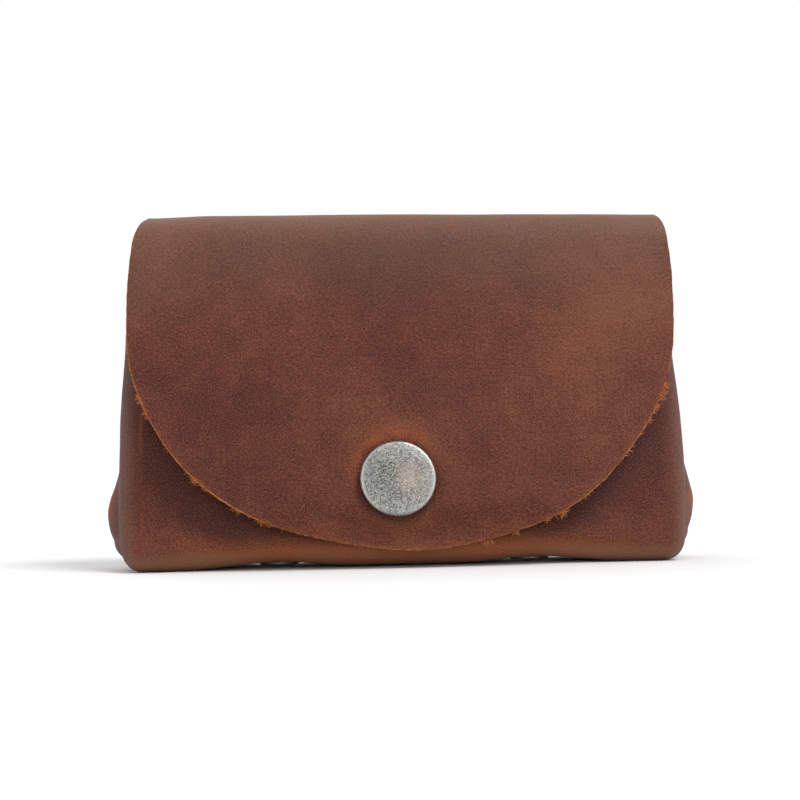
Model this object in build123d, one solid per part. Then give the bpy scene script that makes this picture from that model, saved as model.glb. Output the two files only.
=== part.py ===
from build123d import *
import os
from math import sin, cos, tan, radians, pi, sqrt

os.makedirs("parts", exist_ok=True)

# ---------------------------------------------------------------------------
# Coin purse: one strip of pull-up leather folded into a standing pouch, closed
# by a half-round flap with a press snap.  Millimetres, +Z up, front towards -Y.
# The strip runs: front panel -> bottom -> back panel -> top fold -> flap.  Two
# wings fold back from the front panel and their lower tabs are riveted to the
# bottom.  Rest pose is closed and standing on the two ends of the bottom.
# ---------------------------------------------------------------------------
t = 1.9                 # leather thickness
height = 74.3           # top of the fold above the resting plane
lean_deg = 11.0         # front panel and flap lean back by this much
y_front5 = -12.6        # outer face of the front panel at z = 5
front_top = 50.0        # free upper edge of the front panel and the wings
r_top = 8.9             # outer radius of the fold over the top
r_front = 5.0           # outer radius of the front lower bend
strip_half = 56.0       # half width of back, top and flap
belly_raise = 1.3       # the middle of the bottom is lifted off the floor
gap_flap = 3.2          # room the snap keeps between flap and front panel
front_half = 54.7       # half width of the flat of the front panel
wing_x = 58.2           # outer face of the wing just behind the front fold
wing_rear_y = 9.8       # free rear edge of a wing, inside the back panel
rivet_x = 26.2          # rivets through tab and bottom
rivet_y = 0.5
snap_x = -2.1           # the snap sits a little left of the middle
snap_z = 17.6           # snap centre on the outer face of the flap
snap_cap_d = 15.0       # line 24 cap
hinge_gap = 1.15        # flat cut beyond a fold line
half_t = t / 2

L = radians(lean_deg)
sL, cL, tL = sin(L), cos(L), tan(L)


def y_front(z):                       # outer face of the front panel
    return y_front5 + (z - 5.0) * tL


flap_off = gap_flap + t               # flap outer face, measured square to it


def y_flap(z):                        # outer face of the flap
    return y_front(z) - flap_off / cL


z0 = height - r_top                   # centre of the top fold
y0 = y_flap(z0) + r_top / cL          # the flat of the flap runs tangent into the fold
y_back = y0 + r_top                   # outer face of the upright back panel
flap_tip_z = 3.3
y_min = y_flap(flap_tip_z)
DY = -(y_min + y_back) / 2            # centres the whole object on Y = 0

r_mid = r_top - half_t
P1 = (y0 + r_mid * cos(radians(45)), z0 + r_mid * sin(radians(45)))
P2 = (y0 + r_mid * cos(radians(135)), z0 + r_mid * sin(radians(135)))
z_bot = belly_raise
H0 = (y_back - half_t, z_bot + half_t)      # fold line between bottom and back

yz = Plane.YZ                          # local x = Y, local y = Z, normal = +X


def prism_yz(points, half):
    """Closed (y, z) outline, extruded from -half to +half along X."""
    f = make_face(Polyline(*[(p[0], p[1]) for p in points], close=True).edges())
    return extrude(yz * f, amount=half, both=True)


def cyl_x(y, z, r, half):
    return extrude(yz * Pos(y, z) * Circle(r), amount=half, both=True)


def ring_sector(a0, a1, half, n=40):
    """Leather arc of the top fold between two angles, as a closed outline."""
    out = [(y0 + r_top * cos(radians(a0 + (a1 - a0) * i / n)),
            z0 + r_top * sin(radians(a0 + (a1 - a0) * i / n))) for i in range(n + 1)]
    inn = [(y0 + (r_top - t) * cos(radians(a1 + (a0 - a1) * i / n)),
            z0 + (r_top - t) * sin(radians(a1 + (a0 - a1) * i / n))) for i in range(n + 1)]
    return out, inn


def arc_solid(a0, a1, half):
    """True arcs, not facets."""
    ra, rb = radians(a0), radians(a1)
    rm = radians((a0 + a1) / 2)
    ro, ri = r_top, r_top - t

    def p(r, a):
        return (y0 + r * cos(a), z0 + r * sin(a))
    e = [ThreePointArc(p(ro, ra), p(ro, rm), p(ro, rb)),
         Line(p(ro, rb), p(ri, rb)),
         ThreePointArc(p(ri, rb), p(ri, rm), p(ri, ra)),
         Line(p(ri, ra), p(ro, ra))]
    return extrude(yz * make_face(e), amount=half, both=True)


# outline of the upper strip seen from the front: it narrows over the top fold
strip_outline = [(-54.8, 0), (-55.4, 6), (-strip_half, 14), (-strip_half, 57), (-55.6, 66), (-54.8, 70.5),
                 (-53.9, 72.8), (-52.4, height + 1), (52.4, height + 1), (53.9, 72.8), (54.8, 70.5),
                 (55.6, 66), (strip_half, 57), (strip_half, 14), (55.4, 6), (54.8, 0)]
strip_mask = extrude(Plane.XZ * make_face(Polyline(*strip_outline, close=True).edges()), amount=60, both=True)

cut_deg = (hinge_gap / r_mid) * 180 / pi      # arc covered by a flat cut

# ------------------------------------------------------------------ back ----
back_flat = Pos(0, y_back - half_t, (H0[1] + hinge_gap + z0) / 2) * Box(
    2 * strip_half, t, z0 - H0[1] - hinge_gap)
back_arc = arc_solid(0, 45, strip_half)
back_panel = (back_flat + back_arc + cyl_x(P1[0], P1[1], half_t, strip_half)) & strip_mask

# -------------------------------------------------------------- top fold ----
top_fold = (arc_solid(45 + cut_deg, 135, strip_half) +
            cyl_x(P2[0], P2[1], half_t, strip_half)) & strip_mask

# ------------------------------------------------------------------ flap ----
n_out = Vector(0, -cL, sL)
flap_plane = Plane(origin=(0, y_flap(snap_z), snap_z), x_dir=(1, 0, 0), z_dir=n_out)
# half-round edge of the flap, (x, height on its outer face)
edge_xz = [(-56.0, 57.0), (-56.0, 49.0), (-55.6, 44.6), (-54.7, 39.8), (-53.2, 35.6), (-50.8, 30.6),
           (-48.2, 26.2), (-45.2, 22.0), (-42.0, 18.8), (-38.4, 15.9), (-34.2, 12.8), (-30.0, 10.3),
           (-25.1, 8.1), (-21.6, 6.9), (-15.8, 5.3), (-10.0, 4.3), (-4.5, 3.55), (0.0, flap_tip_z)]
edge_xz = edge_xz + [(-x, z) for x, z in edge_xz[-2::-1]]
z_tan = z0 + r_top * sL               # where the flat of the flap meets the arc


def to_v(z):
    return (z - snap_z) / cL


flat_pts = [(x, to_v(z)) for x, z in edge_xz]
fl_edges = [Spline(*flat_pts), Line(flat_pts[-1], (55.6, to_v(z_tan))),
            Line((55.6, to_v(z_tan)), (-55.6, to_v(z_tan))),
            Line((-55.6, to_v(z_tan)), flat_pts[0])]
flap_flat = extrude(flap_plane * make_face(fl_edges), amount=-t)
flap_arc = arc_solid(135 + cut_deg, 180 - lean_deg, strip_half)


def along_snap(w0, w1, r):
    """Disc of radius r between depths w0 < w1 along the snap axis (0 = flap face)."""
    return flap_plane * Pos(snap_x, 0, (w0 + w1) / 2) * Cylinder(r, w1 - w0)


flap = ((flap_flat + flap_arc) & strip_mask) - along_snap(-t - 1, 1, 1.6)

# ------------------------------------------------------------------ snap ----
# depths along the snap axis: flap 0..-1.9, gap to -5.1, front panel to -7.0
w_fi = -t
w_fo = -flap_off
w_in = -flap_off - t


def revolve_w(profile):
    """Solid of revolution about the snap axis from (radius, depth) points."""
    f = make_face(Polyline(*[(r, 0, w) for r, w in profile], close=True).edges())
    return flap_plane * Pos(snap_x, 0, 0) * revolve(f, axis=Axis.Z, revolution_arc=360)


cr = snap_cap_d / 2
snap_cap = revolve_w([(0, 2.35), (2.5, 2.28), (4.8, 2.02), (6.2, 1.62), (6.95, 1.15), (7.38, 0.62),
                      (cr, 0.25), (7.35, 0.0), (1.6, 0.0), (1.6, w_fi - 0.55), (2.3, w_fi - 0.62),
                      (2.1, w_fi - 0.85), (0, w_fi - 0.95)])
snap_socket = revolve_w([(1.6, w_fi), (6.0, w_fi), (6.0, w_fi - 0.35), (5.2, w_fi - 0.62),
                         (5.0, w_fi - 2.1), (4.6, w_fi - 2.35), (3.3, w_fi - 2.35), (3.3, w_fi - 1.85),
                         (3.95, w_fi - 1.85), (3.95, w_fi - 1.25), (3.3, w_fi - 1.25),
                         (3.3, w_fi - 0.55), (1.6, w_fi - 0.55)])
spring_w = w_fi - 1.55
ring = Torus(3.55, 0.28)
gap_box = Pos(3.55, 0, 0) * Box(1.6, 1.2, 1.6)
socket_spring = flap_plane * Pos(snap_x, 0, spring_w) * (ring - gap_box)
snap_stud = revolve_w([(1.5, w_fo), (5.4, w_fo), (5.4, w_fo + 0.3), (4.2, w_fo + 0.55), (2.1, w_fo + 0.62),
                       (1.95, w_fo + 1.0), (2.4, w_fo + 1.45), (2.45, w_fo + 1.8), (2.1, w_fo + 2.1),
                       (1.5, w_fo + 2.15)])
snap_post = revolve_w([(0, w_in - 0.95), (3.6, w_in - 0.85), (4.9, w_in - 0.5), (5.2, w_in), (1.5, w_in),
                       (1.5, w_fo + 2.0), (0.9, w_fo + 2.15), (0, w_fo + 2.15)])

# ----------------------------------------------------------- front panel ----
zc = z_bot + r_front
yc = y_front(zc) + r_front / cL        # centre of the lower front bend
tan_a = 180 - lean_deg


def pc(r, a):
    return (yc + r * cos(radians(a)), zc + r * sin(radians(a)))


f_top_o = (y_front(front_top), front_top)
f_top_i = (f_top_o[0] + t * cL, f_top_o[1] - t * sL)
ri = r_front - t
f_edges = [Line(f_top_o, pc(r_front, tan_a)),
           ThreePointArc(pc(r_front, tan_a), pc(r_front, (tan_a + 270) / 2), pc(r_front, 270)),
           Line(pc(r_front, 270), pc(ri, 270)),
           ThreePointArc(pc(ri, 270), pc(ri, (tan_a + 270) / 2), pc(ri, tan_a)),
           Line(pc(ri, tan_a), f_top_i),
           Line(f_top_i, f_top_o)]
front_panel = extrude(yz * make_face(f_edges), amount=front_half, both=True)
front_panel = front_panel - along_snap(w_in - 1, w_fo + 1, 1.5)

# ---------------------------------------------------------- bottom panel ----
bx = [(-56.0, 1.2), (-54.6, 0.0), (-46.0, 0.0), (-38.0, z_bot), (38.0, z_bot), (46.0, 0.0), (54.6, 0.0),
      (56.0, 1.2), (56.0, t), (46.4, t), (38.4, z_bot + t), (-38.4, z_bot + t), (-46.4, t), (-56.0, t)]
b_face = make_face(Polyline(*bx, close=True).edges())
# the strip runs from the front bend to the rear fold line
b_len = H0[0] - yc
bottom_panel = extrude(Plane(origin=(0, H0[0], 0), x_dir=(1, 0, 0), z_dir=(0, -1, 0)) * b_face, amount=b_len)
bottom_panel = bottom_panel + cyl_x(H0[0], H0[1], half_t, 38.0)
rivet_hole = Cylinder(1.4, 30)
for s in (-1, 1):
    bottom_panel = bottom_panel - Pos(s * rivet_x, rivet_y, 0) * rivet_hole

# ------------------------------------------------------------------ tabs ----


def make_tab(s):
    tx = [(18.0, z_bot + t), (38.4, z_bot + t), (46.4, t), (53.6, t), (53.6, 2 * t), (46.8, 2 * t),
          (38.8, z_bot + 2 * t), (18.0, z_bot + 2 * t)]
    f = make_face(Polyline(*[(s * a, b) for a, b in tx], close=True).edges())
    tab_y1 = 9.3
    tab = extrude(Plane(origin=(0, tab_y1, 0), x_dir=(1, 0, 0), z_dir=(0, -1, 0)) * f,
                  amount=tab_y1 + 6.6)
    # rounded inner end and tapered sides of the tab, seen from above
    top = [(55.0, -6.6), (55.0, tab_y1), (38.0, 9.0), (26.0, 7.6), (21.0, 5.4), (18.6, 2.6), (18.2, 0.4),
           (18.9, -2.0), (21.4, -4.4), (26.0, -5.8), (38.0, -6.4)]
    m = extrude(make_face(Polyline(*[(s * a, b) for a, b in top], close=True).edges()), amount=20)
    tab = tab & m
    return tab - Pos(s * rivet_x, rivet_y, 0) * rivet_hole


left_tab = make_tab(-1)
right_tab = make_tab(1)

# ----------------------------------------------------------------- wings ----
# sections at several heights: (z, outer x behind the fold, bow, rear x, front y)
wing_rows = [(t + 0.02, 56.4, 0.0, 55.6, None), (3.6, 57.0, 0.9, 55.6, None), (6.0, 57.6, 2.0, 55.6, None),
             (8.6, 58.0, 3.1, 55.6, None), (11.5, 58.2, 3.7, 55.5, None), (15.0, 58.3, 3.0, 55.5, None),
             (20.0, 58.3, 2.0, 55.4, None), (27.0, 58.2, 1.1, 55.3, None), (38.0, 58.0, 0.5, 55.1, None),
             (front_top, 57.8, 0.2, 55.0, None)]


def front_y_at(z):
    """Outer face of the front panel, bend included."""
    if z >= zc + r_front * sL:
        return y_front(z)
    d = r_front * r_front - (z - zc) ** 2
    return yc - sqrt(max(d, 0.0))


def wing_section(s, z, xo, bow, xr):
    yf = front_y_at(z)
    r = min(3.5, xo - front_half)
    ri_ = max(r - t, 0.12)
    n_arc, n_side = 5, 14
    out, inn = [], []
    for i in range(n_arc + 1):
        a = pi / 2 * i / n_arc
        out.append((front_half + r * sin(a), yf + r - r * cos(a)))
        inn.append((front_half + ri_ * sin(a), yf + t + ri_ - ri_ * cos(a)))
    yo, yi = yf + r, yf + t + ri_
    th0 = xo - front_half - ri_
    xe = front_half + r
    for i in range(1, n_side + 1):
        u = i / n_side
        e = u * u * (3 - 2 * u)
        th = th0 + (t - th0) * min(1.0, u * 4)
        x = xe + (xr - xe) * e + bow * sin(pi * min(1.0, u)) ** 1.3
        out.append((x, yo + (wing_rear_y - yo) * u))
        inn.append((x - th, yi + (wing_rear_y - yi) * u))
    pts = out + inn[::-1]
    return [(s * a, b, z) for a, b in pts]


def make_wing(s):
    faces = []
    for z, xo, bow, xr, _ in wing_rows:
        w = Polyline(*wing_section(s, z, xo, bow, xr), close=True)
        faces.append(make_face(w.edges()))
    return loft(faces, ruled=True)


left_side_panel = make_wing(-1)
right_side_panel = make_wing(1)

# ---------------------------------------------------------------- rivets ----
rt = z_bot + 2 * t                     # top of the tab at the rivet
rb = z_bot                             # underside of the bottom at the rivet


def rev_z(profile, x, y):
    f = make_face(Polyline(*[(r, 0, z) for r, z in profile], close=True).edges())
    return Pos(x, y, 0) * revolve(f, axis=Axis.Z, revolution_arc=360)


def rivet_cap(x):
    return rev_z([(0, rt), (4.15, rt), (4.15, rt + 0.22), (3.6, rt + 0.62), (2.4, rt + 0.92), (0, rt + 1.05)],
                 x, rivet_y)


def rivet_post(x):
    return rev_z([(0, rb - 1.0), (2.4, rb - 0.88), (3.6, rb - 0.6), (4.15, rb - 0.22), (4.15, rb), (1.4, rb),
                  (1.4, rt), (0, rt)], x, rivet_y)


left_rivet_cap, right_rivet_cap = rivet_cap(-rivet_x), rivet_cap(rivet_x)
left_rivet_post, right_rivet_post = rivet_post(-rivet_x), rivet_post(rivet_x)

# ---------------------------------------------------------------- export ----
nodes = dict(front_panel=front_panel, bottom_panel=bottom_panel, left_side_panel=left_side_panel,
             right_side_panel=right_side_panel, left_tab=left_tab, right_tab=right_tab,
             back_panel=back_panel, top_fold=top_fold, flap=flap, snap_cap=snap_cap,
             snap_socket=snap_socket, socket_spring=socket_spring, snap_stud=snap_stud,
             snap_post=snap_post, left_rivet_cap=left_rivet_cap, left_rivet_post=left_rivet_post,
             right_rivet_cap=right_rivet_cap, right_rivet_post=right_rivet_post)
for name, shape in nodes.items():
    s_ = Pos(0, DY, 0) * shape
    sol = s_.solids()
    if len(sol) == 1:
        s_ = sol[0]
    export_step(s_, f"parts/{name}.step")

print("DY", round(DY, 4))
print("back_tilt pivot (m)", 0, round((H0[0] + DY) / 1000, 6), round(H0[1] / 1000, 6))
print("flap_fold_rear pivot (m)", 0, round((P1[0] + DY) / 1000, 6), round(P1[1] / 1000, 6))
print("flap_fold_front pivot (m)", 0, round((P2[0] + DY) / 1000, 6), round(P2[1] / 1000, 6))
print("snap axis origin", snap_x, round(y_flap(snap_z) + DY, 4), snap_z)
print("y_front5", y_front5 + DY, "y_back", y_back + DY, "y0", y0 + DY, "z0", z0, "yc", yc + DY, "zc", zc)
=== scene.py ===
import bpy
import math
import random
import numpy as np
from mathutils import Vector, Matrix


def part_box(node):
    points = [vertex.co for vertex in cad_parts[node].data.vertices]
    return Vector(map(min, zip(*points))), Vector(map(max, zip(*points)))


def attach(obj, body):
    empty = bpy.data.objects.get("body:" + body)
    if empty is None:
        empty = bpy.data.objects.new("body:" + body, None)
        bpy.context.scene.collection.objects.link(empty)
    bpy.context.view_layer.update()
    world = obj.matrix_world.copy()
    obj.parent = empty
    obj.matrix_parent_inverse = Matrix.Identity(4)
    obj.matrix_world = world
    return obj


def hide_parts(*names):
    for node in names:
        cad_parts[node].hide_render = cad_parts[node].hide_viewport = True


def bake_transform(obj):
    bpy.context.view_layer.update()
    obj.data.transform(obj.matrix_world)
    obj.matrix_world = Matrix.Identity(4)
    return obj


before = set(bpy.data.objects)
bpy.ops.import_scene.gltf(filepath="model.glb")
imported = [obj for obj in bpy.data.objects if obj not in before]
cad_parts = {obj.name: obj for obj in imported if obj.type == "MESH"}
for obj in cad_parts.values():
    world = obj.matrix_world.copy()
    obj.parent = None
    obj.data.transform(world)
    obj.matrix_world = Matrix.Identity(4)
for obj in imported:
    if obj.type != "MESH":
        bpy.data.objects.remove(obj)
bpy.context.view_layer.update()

# ---------------------------------------------------------------------------
# sizes in millimetres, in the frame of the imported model
# ---------------------------------------------------------------------------
MM = 0.001
T = 1.9
LEAN = math.radians(11.0)
SL, CL, TL = math.sin(LEAN), math.cos(LEAN), math.tan(LEAN)
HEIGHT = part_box("top_fold")[1][2] * 1000
Y_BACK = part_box("back_panel")[1][1] * 1000
R_TOP = 8.9
Z0 = HEIGHT - R_TOP
Y0 = Y_BACK - R_TOP
Y_F5 = Y0 - R_TOP / CL + (5.1 / CL) - (Z0 - 5.0) * TL      # front face at z = 5


def y_front(z):
    return Y_F5 + (z - 5.0) * TL


FLAP_OFF = 5.1
SNAP_Z = 17.6
SNAP_X = (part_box("snap_cap")[0][0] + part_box("snap_cap")[1][0]) * 500


def y_flap(z):
    return y_front(z) - FLAP_OFF / CL


rng = np.random.default_rng(20)
random.seed(20)


def smooth(a, b, x):
    u = np.clip((np.asarray(x, float) - a) / (b - a), 0, 1)
    return u * u * (3 - 2 * u)


def noise2(x, y, cell, seed):
    """Smooth value noise in -1..1 with the given cell size, the same on every run."""
    g = np.random.default_rng(seed).uniform(-1, 1, (256, 256))
    u, v = np.asarray(x, float) / cell + 1000.37, np.asarray(y, float) / cell + 1000.71
    i, j = np.floor(u).astype(int), np.floor(v).astype(int)
    fu, fv = u - i, v - j
    fu, fv = fu * fu * (3 - 2 * fu), fv * fv * (3 - 2 * fv)
    i0, j0, i1, j1 = i % 256, j % 256, (i + 1) % 256, (j + 1) % 256
    return (g[i0, j0] * (1 - fu) + g[i1, j0] * fu) * (1 - fv) + (g[i0, j1] * (1 - fu) + g[i1, j1] * fu) * fv


def fbm(x, y, cell, seed, octaves=3):
    out, amp, tot = 0.0, 1.0, 0.0
    for k in range(octaves):
        out = out + amp * noise2(x, y, cell / 2 ** k, seed + 17 * k)
        tot += amp
        amp *= 0.5
    return out / tot


# ---------------------------------------------------------------------------
# materials
# ---------------------------------------------------------------------------
def new_mat(name):
    m = bpy.data.materials.new(name)
    m.use_nodes = True
    nt = m.node_tree
    nt.nodes.clear()
    out = nt.nodes.new("ShaderNodeOutputMaterial")
    b = nt.nodes.new("ShaderNodeBsdfPrincipled")
    nt.links.new(b.outputs[0], out.inputs[0])
    return m, nt, b


def node(nt, kind, **kw):
    n = nt.nodes.new(kind)
    for k, v in kw.items():
        setattr(n, k, v)
    return n


def noise_node(nt, vec, scale, detail=2.0, rough=0.5, distortion=0.0):
    n = node(nt, "ShaderNodeTexNoise")
    n.inputs["Scale"].default_value = scale
    n.inputs["Detail"].default_value = detail
    n.inputs["Roughness"].default_value = rough
    n.inputs["Distortion"].default_value = distortion
    nt.links.new(vec, n.inputs["Vector"])
    return n.outputs["Fac"]


def ramp(nt, fac, lo, hi, a=0.0, b=1.0):
    n = node(nt, "ShaderNodeMapRange", interpolation_type="SMOOTHSTEP")
    n.inputs["From Min"].default_value = lo
    n.inputs["From Max"].default_value = hi
    n.inputs["To Min"].default_value = a
    n.inputs["To Max"].default_value = b
    nt.links.new(fac, n.inputs["Value"])
    return n.outputs[0]


def math_node(nt, op, a, b=None, c=None):
    n = node(nt, "ShaderNodeMath", operation=op)
    for k, v in enumerate((a, b, c)):
        if v is None:
            continue
        if isinstance(v, (int, float)):
            n.inputs[k].default_value = v
        else:
            nt.links.new(v, n.inputs[k])
    return n.outputs[0]


def mix_col(nt, fac, a, b, blend="MIX"):
    n = node(nt, "ShaderNodeMix", data_type="RGBA", blend_type=blend)
    for k, v in ((0, fac), (6, a), (7, b)):
        if isinstance(v, (int, float)):
            n.inputs[k].default_value = v
        elif isinstance(v, (tuple, list)):
            n.inputs[k].default_value = (*v[:3], 1)
        else:
            nt.links.new(v, n.inputs[k])
    return n.outputs[2]


def attr(nt, name, out="Vector"):
    n = node(nt, "ShaderNodeAttribute", attribute_name=name)
    return n.outputs[out]


def bump_chain(nt, heights):
    """heights: list of (socket, distance in metres, strength)."""
    prev = None
    for h, dist, strength in heights:
        b = node(nt, "ShaderNodeBump")
        b.inputs["Strength"].default_value = strength
        b.inputs["Distance"].default_value = dist
        nt.links.new(h, b.inputs["Height"])
        if prev is not None:
            nt.links.new(prev, b.inputs["Normal"])
        prev = b.outputs[0]
    return prev


# linear colours of the waxed leather
C_DARK = (0.031, 0.0050, 0.0028)
C_MID = (0.089, 0.0165, 0.0079)
C_LIGHT = (0.170, 0.055, 0.0235)
C_ORANGE = (0.30, 0.080, 0.018)


def leather_grain():
    m, nt, b = new_mat("leather_grain")
    flat = attr(nt, "flat")
    tone = attr(nt, "tone", "Fac")
    warm = attr(nt, "warm", "Fac")
    # soft clouding of the wax
    cloud = noise_node(nt, flat, 55.0, 4.0, 0.55, 0.3)
    cloud2 = noise_node(nt, flat, 210.0, 4.0, 0.6, 0.2)
    t1 = math_node(nt, "MULTIPLY_ADD", ramp(nt, cloud, 0.3, 0.7, -1.0, 1.0), 0.10, tone)
    t2 = math_node(nt, "MULTIPLY_ADD", ramp(nt, cloud2, 0.3, 0.7, -1.0, 1.0), 0.10, t1)
    # fine speckle of the grain
    speck = noise_node(nt, flat, 1500.0, 3.0, 0.65, 0.0)
    speck2 = noise_node(nt, flat, 3300.0, 2.0, 0.6, 0.0)
    t3 = math_node(nt, "MULTIPLY_ADD", ramp(nt, speck, 0.32, 0.68, -1.0, 1.0), 0.20, t2)
    t4 = math_node(nt, "MULTIPLY_ADD", ramp(nt, speck2, 0.32, 0.68, -1.0, 1.0), 0.20, t3)
    cr = node(nt, "ShaderNodeValToRGB")
    cr.color_ramp.interpolation = "B_SPLINE"
    el = cr.color_ramp.elements
    el[0].position, el[0].color = 0.0, (*C_DARK, 1)
    el[1].position, el[1].color = 1.0, (*C_LIGHT, 1)
    e = el.new(0.5)
    e.color = (*C_MID, 1)
    nt.links.new(t4, cr.inputs[0])
    # short light scuffs
    vm = node(nt, "ShaderNodeMapping")
    vm.inputs["Rotation"].default_value = (0, 0, 0.5)
    vm.inputs["Scale"].default_value = (260.0, 1500.0, 1.0)
    nt.links.new(flat, vm.inputs["Vector"])
    sc = noise_node(nt, vm.outputs[0], 1.0, 2.0, 0.5, 1.2)
    scm = math_node(nt, "MULTIPLY", ramp(nt, sc, 0.63, 0.72), ramp(nt, cloud2, 0.5, 0.66))
    col = mix_col(nt, math_node(nt, "MULTIPLY", scm, 0.40), cr.outputs[0], (0.20, 0.066, 0.028))
    # wax bloom on the tops of the grain, partly a painted glint of white-ish flecks; dark pores between, partly painted
    # shade
    tops = noise_node(nt, flat, 4300.0, 1.0, 0.5)
    col = mix_col(nt, ramp(nt, tops, 0.50, 0.72, 0.0, 0.58), col, (0.190, 0.076, 0.047))
    col = mix_col(nt, ramp(nt, tops, 0.46, 0.30, 0.0, 0.66), col, (0.018, 0.003, 0.0015))
    # painted sheen: a greyish film mixed into the colour on the folds, standing in for reflected light
    sheen_mix = attr(nt, "painted_sheen", "Fac")
    sheen_mix = math_node(nt, "MULTIPLY", sheen_mix, ramp(nt, speck, 0.25, 0.75, 0.75, 1.25))
    col = mix_col(nt, sheen_mix, col, (0.128, 0.082, 0.058))
    # orange where the leather is stretched, and painted bounce light on the pouch's lower front
    wsp = math_node(nt, "MULTIPLY", warm, ramp(nt, speck2, 0.36, 0.60, 0.25, 1.0))
    col = mix_col(nt, wsp, col, C_ORANGE)
    nt.links.new(col, b.inputs["Base Color"])
    rr = math_node(nt, "MULTIPLY_ADD", ramp(nt, cloud2, 0.3, 0.7, -1.0, 1.0), 0.05, 0.50)
    rr = math_node(nt, "MULTIPLY_ADD", ramp(nt, speck, 0.3, 0.7, -1.0, 1.0), 0.05, rr)
    nt.links.new(rr, b.inputs["Roughness"])
    b.inputs["Specular IOR Level"].default_value = 0.15
    # grain: small irregular pebbles with pores between them
    vo = node(nt, "ShaderNodeTexVoronoi", feature="SMOOTH_F1")
    vo.inputs["Scale"].default_value = 1750.0
    vo.inputs["Smoothness"].default_value = 0.6
    vo.inputs["Randomness"].default_value = 1.0
    wob = node(nt, "ShaderNodeVectorMath", operation="MULTIPLY_ADD")
    nn = node(nt, "ShaderNodeTexNoise")
    nn.inputs["Scale"].default_value = 700.0
    nt.links.new(flat, nn.inputs["Vector"])
    nt.links.new(nn.outputs["Color"], wob.inputs[0])
    wob.inputs[1].default_value = (0.0007, 0.0007, 0.0)
    nt.links.new(flat, wob.inputs[2])
    nt.links.new(wob.outputs[0], vo.inputs["Vector"])
    fine = noise_node(nt, flat, 2600.0, 3.0, 0.6)
    nrm = bump_chain(nt, [(cloud2, 0.0010, 0.20), (speck, 0.00018, 0.55), (vo.outputs["Distance"], 0.00012, 0.55),
                          (fine, 0.00010, 0.70), (tops, 0.00010, 0.7)])
    nt.links.new(nrm, b.inputs["Normal"])
    return m


def leather_flesh():
    """Inner, suede side."""
    m, nt, b = new_mat("leather_flesh")
    flat = attr(nt, "flat")
    tone = attr(nt, "tone", "Fac")
    n1 = noise_node(nt, flat, 90.0, 3.0, 0.55, 0.3)
    n2 = noise_node(nt, flat, 1900.0, 3.0, 0.75, 0.0)
    vm = node(nt, "ShaderNodeMapping")
    vm.inputs["Scale"].default_value = (900.0, 3200.0, 1.0)
    nt.links.new(flat, vm.inputs["Vector"])
    n3 = noise_node(nt, vm.outputs[0], 1.0, 2.0, 0.6, 1.5)
    f = math_node(nt, "MULTIPLY_ADD", ramp(nt, n2, 0.3, 0.7, -1, 1), 0.22, ramp(nt, n1, 0.3, 0.7))
    col = mix_col(nt, f, (0.132, 0.047, 0.019), (0.178, 0.068, 0.028))
    col = mix_col(nt, math_node(nt, "MULTIPLY", ramp(nt, n3, 0.6, 0.75), 0.4), col, (0.28, 0.13, 0.06))
    nt.links.new(col, b.inputs["Base Color"])
    b.inputs["Roughness"].default_value = 0.92
    b.inputs["Specular IOR Level"].default_value = 0.2
    b.inputs["Sheen Weight"].default_value = 0.25
    b.inputs["Sheen Roughness"].default_value = 0.5
    nrm = bump_chain(nt, [(n2, 0.0004, 0.5), (n3, 0.0003, 0.4)])
    nt.links.new(nrm, b.inputs["Normal"])
    return m


def leather_edge():
    """Raw cut edge: orange-brown, layered and fibrous."""
    m, nt, b = new_mat("leather_edge")
    flat = attr(nt, "flat")
    n1 = noise_node(nt, flat, 900.0, 4.0, 0.7, 0.4)
    n2 = noise_node(nt, flat, 3400.0, 3.0, 0.7)
    f = math_node(nt, "MULTIPLY_ADD", ramp(nt, n2, 0.3, 0.7, -1, 1), 0.35, ramp(nt, n1, 0.32, 0.68))
    col = mix_col(nt, f, (0.200, 0.068, 0.024), (0.50, 0.205, 0.076))
    nt.links.new(col, b.inputs["Base Color"])
    b.inputs["Roughness"].default_value = 0.85
    b.inputs["Specular IOR Level"].default_value = 0.25
    nrm = bump_chain(nt, [(n1, 0.0005, 0.5), (n2, 0.0003, 0.6)])
    nt.links.new(nrm, b.inputs["Normal"])
    return m


def fibre_mat():
    m, nt, b = new_mat("leather_fibre")
    flat = attr(nt, "flat")
    n1 = noise_node(nt, flat, 900.0, 2.0, 0.6)
    col = mix_col(nt, ramp(nt, n1, 0.3, 0.7), (0.27, 0.070, 0.015), (0.60, 0.22, 0.06))
    nt.links.new(col, b.inputs["Base Color"])
    b.inputs["Roughness"].default_value = 0.8
    b.inputs["Specular IOR Level"].default_value = 0.2
    return m


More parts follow.
